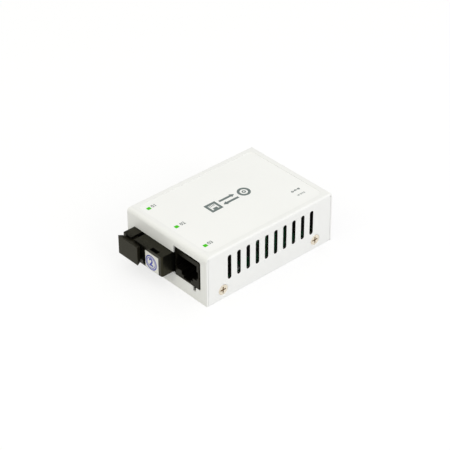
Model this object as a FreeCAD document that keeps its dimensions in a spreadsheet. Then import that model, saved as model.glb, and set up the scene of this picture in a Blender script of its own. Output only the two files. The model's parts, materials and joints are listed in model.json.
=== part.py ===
"""Fibre media converter: a folded steel case with an 8-way jack, an optical transceiver and a power socket.

Millimetres, +Z up. The ports face -Y. The origin is the bottom centre of the whole object, dust cap
included. Inside a body, y = 0 is the outer face of the case's front wall unless its maker says otherwise.
"""
import FreeCAD, Part
import operator
import os
from math import cos, pi, sin
from types import SimpleNamespace

import Sketcher

Vector = FreeCAD.Vector

SIZES = {
    # case: cover and tray of powder-coated steel sheet
    "case_width": 50.0,
    "case_depth": 70.5,
    "case_height": 24.0,
    "sheet_gauge": 0.8,
    "front_bend": 2.2,
    "rear_bend": 1.0,
    "side_bend": 1.0,
    "seam_gap": 0.14,
    "relief_radius": 0.3,
    "relief_drop": 1.2,
    "tray_gap": 0.1,
    "tray_end_gap": 0.3,
    "tray_bend": 1.2,
    "flange_height": 7.9,
    # shallow panel pressed into the roof, and the film in it
    "recess_side": 2.7,
    "recess_front": 3.3,
    "recess_rear": 2.9,
    "recess_depth": 0.35,
    "recess_radius": 3.0,
    "film_gap": 0.12,
    "film_thickness": 0.2,
    # indicator windows
    "window_width": 1.7,
    "window_length": 1.8,
    "window_pitch": 17.8,
    "window_centre": -0.45,
    "window_row": 6.2,
    "window_gap": 0.05,
    # side vents; the high end is measured down from the roof
    "vent_count": 10,
    "vent_first": 12.3,
    "vent_pitch": 5.13,
    "vent_width": 2.0,
    "vent_low": 8.45,
    "vent_high": 3.7,
    # countersunk case screws
    "screw_front": 9.0,
    "screw_rear": 61.2,
    "screw_level": 4.25,
    "screw_head_radius": 2.42,
    "screw_head_gap": 0.3,
    "screw_head_sink": 0.24,
    "screw_shank_radius": 1.45,
    "screw_bore_radius": 1.5,
    "screw_length": 4.0,
    "screw_tip_bevel": 0.35,
    "collar_radius": 2.4,
    "collar_length": 0.9,
    "cross_span": 2.9,
    "cross_arm": 0.55,
    "cross_depth": 0.9,
    # board, hung by the room over its tallest part, and the standoffs that carry it
    "jack_headroom": 4.6,
    "standoff_radius": 2.3,
    "spigot_radius": 1.7,
    "spigot_gap": 0.02,
    "thread_radius": 1.25,
    "board_thickness": 1.6,
    "board_side_gap": 0.7,
    "board_front": 1.6,
    "board_rear_gap": 0.9,
    "notch_half": 3.2,
    "notch_gap": 0.4,
    "board_hole_radius": 1.35,
    "board_screw_side": 3.7,
    "board_screw_inner": 5.2,
    "board_screw_front_row": 20.9,
    "board_screw_middle_row": 41.0,
    "board_screw_rear_row": 3.6,
    "board_screw_radius": 1.2,
    "board_screw_length": 3.6,
    "pan_head_radius": 2.2,
    "pan_head_height": 1.5,
    "pan_head_edge": 0.8,
    "pan_head_crown": 1.3,
    "pan_cross_span": 2.3,
    "pan_cross_depth": 1.0,
    # openings in the front wall round the ports
    "jack_margin": 0.9,
    "jack_lintel": 0.8,
    "jack_sill": 0.03,
    "jack_corner": 1.0,
    "block_margin": 0.2,
    "notch_centre": 4.45,
    "notch_width": 1.9,
    "notch_drop": 2.25,
    # 8-way jack, latch side down
    "jack_centre": 12.8,
    "jack_width": 14.9,
    "jack_height": 13.3,
    "jack_depth": 18.0,
    "jack_sink": 0.1,
    "jack_edge": 0.3,
    "plug_width": 12.0,
    "plug_low": 3.7,
    "plug_high": 11.1,
    "plug_depth": 12.5,
    "ear_reach": 0.8,
    "ear_low": 4.9,
    "ear_high": 8.3,
    "ear_depth": 10.5,
    "latch_width": 7.0,
    "latch_low": 2.0,
    "latch_step_width": 4.4,
    "latch_step_low": 0.7,
    "latch_step_depth": 9.0,
    "contact_count": 8,
    "contact_pitch": 1.02,
    "contact_width": 0.4,
    "contact_slot": 0.6,
    "contact_gauge": 0.35,
    "contact_front": 2.0,
    "contact_level": 12.0,
    "contact_tip": 9.2,
    "contact_tip_level": 8.9,
    "contact_tail_front": 14.2,
    "contact_tail_rear": 16.7,
    "tail_below_board": 0.9,
    "tail_hole_side": 0.72,
    "jack_peg_x": 6.35,
    "jack_peg_y": 13.6,
    "jack_peg_radius": 0.8,
    "peg_hole_gap": 0.1,
    # optical transceiver block with one port and one blank half
    "block_centre": -8.27,
    "block_width": 24.6,
    "block_height": 9.85,
    "block_proud": 5.95,
    "block_length": 39.0,
    "block_lift": 0.45,
    "block_corner": 0.8,
    "block_port_corner": 0.3,
    "port_x": -6.2,
    "port_z": 5.1,
    "port_width": 9.1,
    "port_height": 7.5,
    "port_depth": 15.4,
    "key_width": 2.1,
    "key_length": 6.3,
    "groove_left": 0.2,
    "groove_right": 1.75,
    "groove_foot": 0.75,
    "groove_head": 0.9,
    "groove_depth": 0.8,
    "pocket_left": 4.47,
    "pocket_right": 8.92,
    "pocket_front": 0.2,
    "pocket_length": 1.95,
    "pocket_depth": 2.6,
    "shell_wall": 1.1,
    "bulkhead": 2.0,
    "block_peg_x": 10.2,
    "block_peg_y": 4.4,
    "block_peg_radius": 0.8,
    "pin_count": 9,
    "pin_pitch": 2.54,
    "pin_row": 29.3,
    "pin_side": 0.46,
    "pin_hole_side": 0.84,
    "inner_board_length": 11.0,
    "inner_board_gauge": 1.0,
    "inner_board_level": 2.2,
    # light path of the port, from the mouth inwards
    "barrel_radius": 2.3,
    "barrel_front": 9.3,
    "barrel_flange_radius": 3.2,
    "barrel_flange_length": 5.0,
    "sleeve_radius": 1.6,
    "sleeve_wall": 0.32,
    "sleeve_front": 9.9,
    "sleeve_length": 6.0,
    "sleeve_slit": 0.3,
    "optic_gap": 0.03,
    "ferrule_front": 13.2,
    "ferrule_bevel": 0.35,
    "clip_plate": 1.2,
    "clip_arm_front": 8.3,
    "clip_arm_thickness": 0.8,
    "clip_arm_height": 2.6,
    "clip_hook": 0.5,
    "clip_hook_length": 1.2,
    # pull-off dust cap
    "cap_gap": 0.6,
    "cap_plate": 2.1,
    "cap_front_width": 12.35,
    "cap_front_height": 9.05,
    "cap_back_width": 11.0,
    "cap_back_height": 7.8,
    "cap_plug_gap": 0.12,
    "cap_plug_depth": 3.4,
    "cap_plug_wall": 1.1,
    "cap_plug_hollow": 2.8,
    # paper label on the blank half
    "label_left": 1.92,
    "label_width": 8.3,
    "label_foot": 0.2,
    "label_height": 8.2,
    "label_thickness": 0.12,
    # power socket in the rear wall
    "socket_centre": 14.3,
    "socket_width": 9.0,
    "socket_height": 11.0,
    "socket_length": 14.0,
    "socket_flange": 3.4,
    "socket_corner": 0.6,
    "socket_sink": 0.1,
    "socket_margin": 0.3,
    "socket_axis": 6.5,
    "socket_body_radius": 3.9,
    "socket_bore": 3.15,
    "socket_bore_depth": 9.5,
    "socket_pin_radius": 1.0,
    "socket_pin_front": 1.0,
    "socket_tab_width": 2.4,
    "socket_tab_gauge": 0.5,
    "socket_tab_gap": 0.2,
    "spring_width": 2.2,
    "spring_slot_gap": 0.15,
    "spring_gauge": 0.3,
    "spring_rise": 0.5,
    # light guide over the port modules, fed by three lamps behind them; its level is above the jack
    "guide_row": 36.5,
    "guide_level": 0.9,
    "guide_thickness": 1.6,
    "guide_bevel": 1.2,
    "guide_bar": 1.4,
    "guide_foot": 1.4,
    "guide_foot_width": 3.0,
    "guide_foot_height": 2.8,
    "guide_lamp_gap": 0.3,
    "lamp_length": 1.6,
    "lamp_width": 0.8,
    "lamp_height": 0.65,
    # network transformer
    "transformer_x": 10.9,
    "transformer_y": 28.7,
    "transformer_length": 12.4,
    "transformer_width": 7.0,
    "transformer_height": 5.4,
    "transformer_lift": 0.25,
    "transformer_bevel": 0.5,
    "lead_count": 8,
    "lead_pitch": 1.27,
    "lead_width": 0.45,
    "lead_gauge": 0.25,
    "lead_reach": 1.5,
    "lead_knee": 0.6,
    "lead_shoulder": 1.4,
    # other parts on the board
    "chip_x": -4.5,
    "chip_y": 47.0,
    "chip_side": 9.0,
    "chip_height": 0.9,
    "dimple_inset": 1.25,
    "dimple_radius": 0.5,
    "dimple_depth": 0.15,
    "crystal_x": 8.6,
    "crystal_y": 43.4,
    "crystal_length": 11.0,
    "crystal_width": 4.6,
    "crystal_height": 3.5,
    "crystal_rim": 0.35,
    "can_left": -15.2,
    "can_pitch": 8.2,
    "can_y": 57.6,
    "can_radius": 3.15,
    "can_height": 7.7,
    "can_base": 6.6,
    "can_base_height": 1.0,
    "can_neck": 2.85,
    "can_groove": 0.3,
    "can_bevel": 0.3,
    "can_count": 2,
    "coil_x": 2.0,
    "coil_y": 57.0,
    "coil_side": 6.0,
    "coil_height": 2.8,
    "coil_bevel": 0.9,
    "coil_dish_radius": 2.4,
    "coil_dish_depth": 0.5,
    "regulator_x": 8.4,
    "regulator_y": 51.2,
    "regulator_length": 6.5,
    "regulator_width": 3.5,
    "regulator_height": 1.6,
    "regulator_bevel": 0.3,
    "regulator_tab": 3.0,
    "regulator_tab_reach": 1.6,
    "regulator_tab_gauge": 0.3,
    "chip_part_length": 1.6,
    "chip_part_width": 0.8,
    "chip_part_height": 0.55,
    "capacitor_row": 39.6,
    "capacitor_first": -12.4,
    "capacitor_pitch": 3.1,
    "capacitor_count": 6,
    "resistor_row": 52.4,
    "resistor_first": -19.6,
    "resistor_pitch": 2.4,
    "resistor_count": 5,
}

OPERATORS = {"+": operator.add, "-": operator.sub, "*": operator.mul, "/": operator.truediv}


class Size:
    """A length held both as an expression on the sheet and as its present value."""

    def __init__(self, text, value):
        self.text = text
        self.value = value

    def __add__(self, other):
        return combine(self, "+", other)

    def __radd__(self, other):
        return combine(other, "+", self)

    def __sub__(self, other):
        return combine(self, "-", other)

    def __rsub__(self, other):
        return combine(other, "-", self)

    def __mul__(self, other):
        return combine(self, "*", other)

    def __truediv__(self, other):
        return combine(self, "/", other)

    def __neg__(self):
        return combine(0, "-", self)


def size_of(item):
    """A plain number as a Size; a Size as it is."""
    if isinstance(item, Size):
        return item
    return Size(f"({float(item)})", float(item))


def combine(left, sign, right):
    left, right = size_of(left), size_of(right)
    return Size(f"({left.text} {sign} {right.text})", OPERATORS[sign](left.value, right.value))


doc = FreeCAD.newDocument("MediaConverter")
sheet = doc.addObject("Spreadsheet::Sheet", "Sizes")
for row, (alias, number) in enumerate(SIZES.items(), start=1):
    sheet.set(f"A{row}", alias)
    sheet.set(f"B{row}", str(number))
    sheet.setAlias(f"B{row}", alias)
doc.recompute()
s = SimpleNamespace(**{alias: Size("Sizes." + alias, float(number)) for alias, number in SIZES.items()})

# ---- bodies, sketches and features ----

# For each sketch plane: the body axes along its two directions, its normal's axis and the normal's sign.
PLANES = {"XY": (0, 1, 2, 1), "XZ": (0, 2, 1, -1), "YZ": (1, 2, 0, 1)}
# For each axis of turning: the sketch plane, and the sketch axis that lies along it.
TURNS = {"X": ("XY", "H_Axis"), "Y": ("YZ", "H_Axis"), "Z": ("XZ", "V_Axis")}
bodies = []


def bind_base(item, path, position):
    for letter, size in zip("xyz", position):
        item.setExpression(f"{path}.Base.{letter}", size_of(size).text)


def bind(item, name, size):
    size = size_of(size)
    setattr(item, name, size.value)
    item.setExpression(name, size.text)


def make_body(label, x, y, z):
    """A sub-part whose own origin lies at x, y, z of the case, y counted from the front wall."""
    body = doc.addObject("PartDesign::Body", label)
    body.Label = label
    bind_base(body, "Placement", (x, front_wall + y, z))
    bodies.append(body)
    return body


def origin_item(body, role):
    return next(item for item in body.Origin.OriginFeatures if item.Role == role)


def make_sketch(body, plane, origin, outlines):
    across, up, normal, sign = PLANES[plane]
    sketch = body.newObject("Sketcher::SketchObject", "Outline")
    sketch.AttachmentSupport = [(origin_item(body, plane + "_Plane"), "")]
    sketch.MapMode = "FlatFace"
    bind_base(sketch, "AttachmentOffset", (origin[across], origin[up], size_of(origin[normal]) * sign))
    for draw in outlines:
        draw(sketch)
    return sketch


def add_feature(body, kind, sketch):
    feature = body.newObject("PartDesign::" + kind, kind)
    feature.Profile = sketch
    body.Tip = feature
    return feature


def extrude(body, kind, plane, low, high, outlines):
    """A pad grows along its sketch's normal and a pocket cuts against it, so each starts at its own end."""
    normal, sign = PLANES[plane][2:]
    origin = [0, 0, 0]
    origin[normal] = low if (kind == "Pad") == (sign > 0) else high
    feature = add_feature(body, kind, make_sketch(body, plane, origin, outlines))
    bind(feature, "Length", size_of(high) - low)
    return feature


def pad(body, plane, low, high, *outlines):
    return extrude(body, "Pad", plane, low, high, outlines)


def cut(body, plane, low, high, *outlines):
    return extrude(body, "Pocket", plane, low, high, outlines)


def turn(body, axis, origin, *outline, kind="Revolution"):
    """Turn an outline of (along, radius) corners about an axis through origin."""
    plane, sketch_axis = TURNS[axis]
    if axis == "Z":
        outline = [(radius, along) for along, radius in outline]
    sketch = make_sketch(body, plane, origin, [polygon(*outline)])
    feature = add_feature(body, kind, sketch)
    feature.ReferenceAxis = (sketch, [sketch_axis])
    feature.Angle = 360
    return feature


def soften(body, kind, name, size, *places):
    """Fillet or chamfer the edges that lie at the given coordinates of the body."""
    doc.recompute()
    base = body.Tip
    names = [
        f"Edge{number}"
        for number, edge in enumerate(base.Shape.Edges, start=1)
        if any(lies_at(edge, place) for place in places)
    ]
    if not names:
        raise ValueError(f"{body.Label} has no edge at the places given for its {kind}")
    feature = body.newObject("PartDesign::" + kind, kind)
    feature.Base = (base, names)
    bind(feature, name, size)
    body.Tip = feature
    return feature


def fillet(body, radius, *places):
    return soften(body, "Fillet", "Radius", radius, *places)


def chamfer(body, size, *places):
    return soften(body, "Chamfer", "Size", size, *places)


def lies_at(edge, place):
    middle = edge.valueAt((edge.FirstParameter + edge.LastParameter) / 2)
    points = [vertex.Point for vertex in edge.Vertexes] + [middle]
    return all(
        abs(getattr(point, letter) - size_of(size).value) < 1e-4
        for letter, size in place.items()
        for point in points
    )


def repeat(body, features, axis, spacing, count):
    pattern = body.newObject("PartDesign::LinearPattern", "LinearPattern")
    pattern.Originals = features
    pattern.Direction = (origin_item(body, axis + "_Axis"), [""])
    bind(pattern, "Length", size_of(spacing) * (size_of(count) - 1))
    pattern.Occurrences = round(size_of(count).value)
    pattern.setExpression("Occurrences", size_of(count).text)
    body.Tip = pattern
    return pattern


def mirror_body(body, plane):
    mirrored = body.newObject("PartDesign::Mirrored", "Mirrored")
    mirrored.TransformMode = "Whole shape"
    mirrored.MirrorPlane = (origin_item(body, plane + "_Plane"), [""])
    body.Tip = mirrored
    return mirrored


# ---- outlines; each is a function that draws itself in a sketch ----


def constrain(sketch, kind, size, *ends):
    size = size_of(size)
    index = sketch.addConstraint(Sketcher.Constraint(kind, *ends, size.value))
    name = f"{kind}{index}"
    sketch.renameConstraint(index, name)
    sketch.setExpression("Constraints." + name, size.text)


def pin(sketch, item, point, across, up):
    """Hold a point at its two distances from the sketch's origin."""
    constrain(sketch, "DistanceX", across, -1, 1, item, point)
    constrain(sketch, "DistanceY", up, -1, 1, item, point)


def at(across, up):
    return Vector(size_of(across).value, size_of(up).value, 0)


def polygon(*corners):
    def draw(sketch):
        first = sketch.GeometryCount
        count = len(corners)
        points = [at(*corner) for corner in corners]
        sketch.addGeometry([Part.LineSegment(points[i - 1], points[i]) for i in range(count)])
        for i in range(count):
            following = first + (i + 1) % count
            sketch.addConstraint(Sketcher.Constraint("Coincident", first + i, 2, following, 1))
            pin(sketch, first + i, 2, *corners[i])

    return draw


def rectangle(left, low, right, high):
    return polygon((left, low), (right, low), (right, high), (left, high))


def centred(x, y, width, height):
    """A rectangle about its centre."""
    x, y = size_of(x), size_of(y)
    width, height = size_of(width), size_of(height)
    return rectangle(x - width / 2, y - height / 2, x + width / 2, y + height / 2)


def disc(x, y, radius):
    def draw(sketch):
        item = sketch.addGeometry(Part.Circle(at(x, y), Vector(0, 0, 1), size_of(radius).value))
        pin(sketch, item, 3, x, y)
        constrain(sketch, "Radius", radius, item)

    return draw


def rounded_loop(corners, radius):
    """A rectangle or slot whose corner arcs have the given centres, listed anticlockwise."""

    def draw(sketch):
        first = sketch.GeometryCount
        count = len(corners)
        turn_angle = 2 * pi / count
        start = -pi
        arcs = []
        for i, corner in enumerate(corners):
            circle = Part.Circle(at(*corner), Vector(0, 0, 1), size_of(radius).value)
            angle = start + i * turn_angle
            arcs.append(Part.ArcOfCircle(circle, angle, angle + turn_angle))
        lines = [Part.LineSegment(arcs[i].EndPoint, arcs[(i + 1) % count].StartPoint) for i in range(count)]
        sketch.addGeometry(arcs + lines)
        for i, corner in enumerate(corners):
            line = first + count + i
            sketch.addConstraint(Sketcher.Constraint("Tangent", first + i, 2, line, 1))
            sketch.addConstraint(Sketcher.Constraint("Tangent", line, 2, first + (i + 1) % count, 1))
            pin(sketch, first + i, 3, *corner)
            if i:
                sketch.addConstraint(Sketcher.Constraint("Equal", first, first + i))
        constrain(sketch, "Radius", radius, first)

    return draw


def rounded_rectangle(left, low, right, high, radius):
    left, low, right, high = (size_of(side) for side in (left, low, right, high))
    corners = [
        (left + radius, low + radius),
        (right - radius, low + radius),
        (right - radius, high - radius),
        (left + radius, high - radius),
    ]
    return rounded_loop(corners, radius)


def upright_slot(x, low, high, width):
    """A slot with round ends, standing along the sketch's second direction."""
    radius = width / 2
    return rounded_loop([(x, low + radius), (x, high - radius)], radius)


def cove(across, up, radius, side):
    """The sliver between a square corner and its rounding; the corner is on top, and side points inwards."""

    def draw(sketch):
        centre_across, centre_up = across + radius * side, up - radius
        circle = Part.Circle(at(centre_across, centre_up), Vector(0, 0, 1), size_of(radius).value)
        start = pi / 2 if side > 0 else 0
        top = sketch.addGeometry(Part.LineSegment(at(across, up), at(centre_across, up)))
        upright = sketch.addGeometry(Part.LineSegment(at(across, centre_up), at(across, up)))
        arc = sketch.addGeometry(Part.ArcOfCircle(circle, start, start + pi / 2))
        top_end, foot_end = (1, 2) if side > 0 else (2, 1)
        sketch.addConstraint(Sketcher.Constraint("Coincident", upright, 2, top, 1))
        sketch.addConstraint(Sketcher.Constraint("Coincident", top, 2, arc, top_end))
        sketch.addConstraint(Sketcher.Constraint("Coincident", upright, 1, arc, foot_end))
        pin(sketch, top, 1, across, up)
        pin(sketch, top, 2, centre_across, up)
        pin(sketch, upright, 1, across, centre_up)
        constrain(sketch, "DistanceX", centre_across, -1, 1, arc, 3)

    return draw


def coves(left, right, up, left_radius, right_radius):
    """Both upper corners of a section that reaches from left to right."""
    return cove(size_of(left), up, left_radius, 1), cove(right, up, right_radius, -1)


def hexagon(x, y, radius):
    """Six equal sides about a centre; the radius reaches the corners."""
    steps = [turned * pi / 3 for turned in range(6)]
    return polygon(*[(size_of(x) + radius * cos(step), size_of(y) + radius * sin(step)) for step in steps])


def cross(x, y, span, arm):
    """A plus-shaped outline about its centre, for a cross recess."""
    x, y = size_of(x), size_of(y)
    far, near = span / 2, arm / 2
    quarter = [(far, -near), (far, near), (near, near), (near, far)]
    corners = []
    for turned in range(4):
        corners += [(x + across, y + up) for across, up in quarter[:3]]
        quarter = [(-up, across) for across, up in quarter]
    return polygon(*corners)


# ---- places shared by more than one sub-part ----


def row_about(pitch, count):
    """Evenly spaced places on both sides of zero."""
    return [pitch * (number - (count - 1) / 2) for number in range(round(count.value))]


half_case = s.case_width / 2
cap_reach = s.block_proud + s.cap_gap + s.cap_plate
front_wall = (cap_reach - s.case_depth) / 2
tray_side = half_case - s.sheet_gauge - s.tray_gap
flange_inside = tray_side - s.sheet_gauge
board_top = s.case_height - s.jack_headroom - s.jack_height
board_bottom = board_top - s.board_thickness
board_side = flange_inside - s.board_side_gap
board_rear = s.case_depth - s.sheet_gauge - s.board_rear_gap
block_bottom = board_top + s.block_lift
port_x = s.block_centre + s.port_x
port_level = block_bottom + s.port_z
film_top = s.case_height - s.recess_depth + s.film_thickness
tail_end = -(s.board_thickness + s.tail_below_board)
socket_face = s.case_depth - s.socket_sink
board_screw_x = board_side - s.board_screw_side
board_screw_rear = board_rear - s.board_screw_rear_row
board_screw_places = [
    (board_screw_x, s.board_screw_front_row),
    (-board_screw_x, s.board_screw_middle_row),
    (-board_screw_x, board_screw_rear),
    (s.board_screw_inner, board_screw_rear),
]
window_places = [s.window_centre + s.window_pitch * step for step in (-1, 0, 1)]
contact_places = row_about(s.contact_pitch, s.contact_count)
contact_tails = [s.contact_tail_front, s.contact_tail_rear] * (len(contact_places) // 2)
pin_places = row_about(s.pin_pitch, s.pin_count)


# ---- case ----


def make_top_cover():
    """One folded sheet: roof, four walls, open corner seams, pressed panel, port and vent openings."""
    body = make_body("top_cover", 0, 0, 0)
    wide, deep, high, gauge = half_case, s.case_depth, s.case_height, s.sheet_gauge
    pad(body, "XY", 0, high, rectangle(-wide, 0, wide, deep))
    cut(body, "XZ", 0, deep, *coves(-wide, wide, high, s.side_bend, s.side_bend))
    cut(body, "YZ", -wide, wide, *coves(0, deep, high, s.front_bend, s.rear_bend))
    inside, end, ceiling = wide - gauge, deep - gauge, high - gauge
    cut(body, "XY", 0, ceiling, rectangle(-inside, gauge, inside, end))
    side, front, rear = s.side_bend - gauge, s.front_bend - gauge, s.rear_bend - gauge
    pad(body, "XZ", gauge, end, *coves(-inside, inside, ceiling, side, side))
    pad(body, "YZ", -inside, inside, *coves(gauge, end, ceiling, front, rear))

    recess = panel_outline(s.recess_side, s.recess_front, s.recess_rear, s.recess_radius)
    pad(body, "XY", ceiling - s.recess_depth, ceiling, recess)
    cut(body, "XY", high - s.recess_depth, high, recess)
    holes = [window(place, s.window_gap) for place in window_places]
    cut(body, "XY", ceiling - s.recess_depth, high - s.recess_depth, *holes)

    cut_corner_seams(body)
    cut_port_openings(body)
    vent = upright_slot(s.vent_first, s.vent_low, high - s.vent_high, s.vent_width)
    vent = cut(body, "YZ", -wide, wide, vent)
    repeat(body, [vent], "Y", s.vent_pitch, s.vent_count)
    head = s.screw_head_radius + s.screw_head_gap
    for place in (s.screw_front, s.screw_rear):
        for side in (1, -1):
            outer, inner = wide * side, (wide - gauge) * side
            turn(body, "X", (0, place, s.screw_level), (inner, 0), (inner, head - gauge), (outer, head),
                 (outer, 0), kind="Groove")
    return body


def panel_outline(side, front, rear, radius):
    return rounded_rectangle(side - half_case, front, half_case - side, s.case_depth - rear, radius)


def window(place, gap):
    return centred(place, s.window_row, s.window_width + gap * 2, s.window_length + gap * 2)


def cut_corner_seams(body):
    """The side walls butt behind the front and rear walls, with a round relief above each seam."""
    gauge, gap = s.sheet_gauge, s.seam_gap
    seam_top = s.case_height - s.relief_drop
    inner = half_case - gauge
    ends = ((gauge, gauge + gap), (s.case_depth - gauge - gap, s.case_depth - gauge))
    slits = []
    for near, far in ends:
        slits += [rectangle(inner, near, half_case, far), rectangle(-half_case, near, -inner, far)]
    cut(body, "XY", 0, seam_top, *slits)
    reliefs = [disc((near + far) / 2, seam_top, s.relief_radius) for near, far in ends]
    cut(body, "YZ", inner, half_case, *reliefs)
    cut(body, "YZ", -half_case, -inner, *reliefs)


def cut_port_openings(body):
    """One stepped opening for the transceiver and the jack in front, and one for the power socket."""
    gauge = s.sheet_gauge
    left = s.block_centre - s.block_width / 2 - s.block_margin
    low, high = block_bottom - s.block_margin, block_bottom + s.block_height + s.block_margin
    jack_left = s.jack_centre - s.jack_width / 2 - s.jack_margin
    jack_right = s.jack_centre + s.jack_width / 2 + s.jack_margin
    sill, lintel = board_top - s.jack_sill, board_top + s.jack_height + s.jack_lintel
    notch = s.jack_centre + s.notch_centre
    notch_left, notch_right = notch - s.notch_width / 2, notch + s.notch_width / 2
    outline = polygon(
        (left, low), (left, high), (jack_left, high), (jack_left, lintel), (jack_right, lintel),
        (jack_right, sill), (notch_right, sill), (notch_right, sill - s.notch_drop),
        (notch_left, sill - s.notch_drop), (notch_left, sill), (jack_left, sill), (jack_left, low),
    )
    cut(body, "XZ", 0, gauge, outline)
    fillet(body, s.jack_corner, {"x": jack_right, "z": lintel})
    reach = s.socket_width / 2 + s.socket_margin
    rear = rectangle(
        s.socket_centre - reach, board_top - s.jack_sill,
        s.socket_centre + reach, board_top + s.socket_height + s.socket_margin,
    )
    cut(body, "XZ", s.case_depth - gauge, s.case_depth, rear)


def make_base_tray():
    """A U-shaped tray inside the cover, with a tapped collar for each case screw."""
    body = make_body("base_tray", 0, 0, 0)
    gauge = s.sheet_gauge
    end = gauge + s.tray_end_gap
    section = polygon(
        (-tray_side, 0), (tray_side, 0), (tray_side, s.flange_height), (flange_inside, s.flange_height),
        (flange_inside, gauge), (-flange_inside, gauge), (-flange_inside, s.flange_height),
        (-tray_side, s.flange_height),
    )
    pad(body, "XZ", end, s.case_depth - end, section)
    fillet(body, s.tray_bend, {"x": tray_side, "z": 0}, {"x": -tray_side, "z": 0})
    fillet(body, s.tray_bend - gauge, {"x": flange_inside, "z": gauge}, {"x": -flange_inside, "z": gauge})
    holes = [disc(x, y, s.spigot_radius + s.spigot_gap) for x, y in board_screw_places]
    cut(body, "XY", 0, gauge, *holes)

    collar_end = flange_inside - s.collar_length
    sunk = s.screw_head_radius + s.screw_head_gap - gauge - s.tray_gap
    cone_end = tray_side - (sunk - s.screw_bore_radius)
    for place in (s.screw_front, s.screw_rear):
        for side in (1, -1):
            origin = (0, place, s.screw_level)
            turn(body, "X", origin, (collar_end * side, 0), (collar_end * side, s.collar_radius),
                 (flange_inside * side, s.collar_radius), (flange_inside * side, 0))
            turn(body, "X", origin, (collar_end * side, 0), (collar_end * side, s.screw_bore_radius),
                 (cone_end * side, s.screw_bore_radius), (tray_side * side, sunk), (tray_side * side, 0),
                 kind="Groove")
    return body


def make_case_screws():
    """Four countersunk cross-head screws, two in each side."""
    body = make_body("case_screws", 0, 0, 0)
    face = half_case - s.screw_head_sink
    neck = face - (s.screw_head_radius - s.screw_shank_radius)
    tip = half_case - s.screw_length
    blunt = s.screw_tip_bevel
    for place in (s.screw_front, s.screw_rear):
        turn(body, "X", (0, place, s.screw_level), (tip, 0), (tip, s.screw_shank_radius - blunt),
             (tip + blunt, s.screw_shank_radius), (neck, s.screw_shank_radius), (face, s.screw_head_radius),
             (face, 0))
        cut(body, "YZ", face - s.cross_depth, face, cross(place, s.screw_level, s.cross_span, s.cross_arm))
    mirror_body(body, "YZ")
    return body


def make_label_film():
    """The plain film that lies in the roof's pressed panel, with a hole for each indicator."""
    body = make_body("label_film", 0, 0, s.case_height - s.recess_depth)
    gap = s.film_gap
    edges = [recess + gap for recess in (s.recess_side, s.recess_front, s.recess_rear)]
    pad(body, "XY", 0, s.film_thickness, panel_outline(*edges, s.recess_radius - gap))
    cut(body, "XY", 0, s.film_thickness, *[window(place, s.window_gap) for place in window_places])
    return body


# ---- board and its fixings ----


def make_board_standoffs():
    """Six-sided standoffs, threaded right through, with round spigots pressed into the tray."""
    body = make_body("board_standoffs", 0, 0, 0)
    seat, top = s.sheet_gauge, board_bottom
    pad(body, "XY", 0, seat, *[disc(x, y, s.spigot_radius) for x, y in board_screw_places])
    pad(body, "XY", seat, top, *[hexagon(x, y, s.standoff_radius) for x, y in board_screw_places])
    cut(body, "XY", 0, top, *[disc(x, y, s.thread_radius) for x, y in board_screw_places])
    return body


def make_board_screws():
    """Pan-head cross screws through the board into the standoffs."""
    body = make_body("board_screws", 0, 0, board_top)
    radius, head, height = s.board_screw_radius, s.pan_head_radius, s.pan_head_height
    for x, y in board_screw_places:
        turn(body, "Z", (x, y, 0), (-s.board_screw_length, 0), (-s.board_screw_length, radius), (0, radius),
             (0, head), (s.pan_head_edge, head), (height, s.pan_head_crown), (height, 0))
        cut(body, "XY", height - s.pan_cross_depth, height, cross(x, y, s.pan_cross_span, s.cross_arm))
    return body


def make_circuit_board():
    """The main board, notched clear of the case screws and drilled for every tail and peg."""
    body = make_body("circuit_board", 0, 0, board_bottom)
    front, rear, side = s.board_front, board_rear, board_side
    waist = half_case - s.screw_length - s.notch_gap
    stops = [s.screw_front - s.notch_half, s.screw_front + s.notch_half,
             s.screw_rear - s.notch_half, s.screw_rear + s.notch_half]
    right = [(side, front), (side, stops[0]), (waist, stops[0]), (waist, stops[1]), (side, stops[1]),
             (side, stops[2]), (waist, stops[2]), (waist, stops[3]), (side, stops[3]), (side, rear)]
    left = [(-x, y) for x, y in reversed(right)]
    pad(body, "XY", 0, s.board_thickness, polygon(*right, *left))

    gap = s.peg_hole_gap
    holes = [disc(x, y, s.board_hole_radius) for x, y in board_screw_places]
    side = s.tail_hole_side
    holes += [centred(s.jack_centre + x, s.jack_sink + y, side, side)
              for x, y in zip(contact_places, contact_tails)]
    holes += [disc(s.jack_centre + s.jack_peg_x * side, s.jack_sink + s.jack_peg_y, s.jack_peg_radius + gap)
              for side in (1, -1)]
    side = s.pin_hole_side
    holes += [centred(s.block_centre + place, s.pin_row, side, side) for place in pin_places]
    holes += [disc(s.block_centre + s.block_peg_x * side, s.block_peg_y, s.block_peg_radius + gap)
              for side in (1, -1)]
    room = s.socket_tab_gap * 2
    tab = s.socket_tab_width + room, s.socket_tab_gauge + room
    holes += [centred(s.socket_centre, socket_face - along, *tab)
              for along in (socket_tab_place(), spring_tab_place())]
    cut(body, "XY", 0, s.board_thickness, *holes)
    return body


# ---- 8-way jack ----


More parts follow.
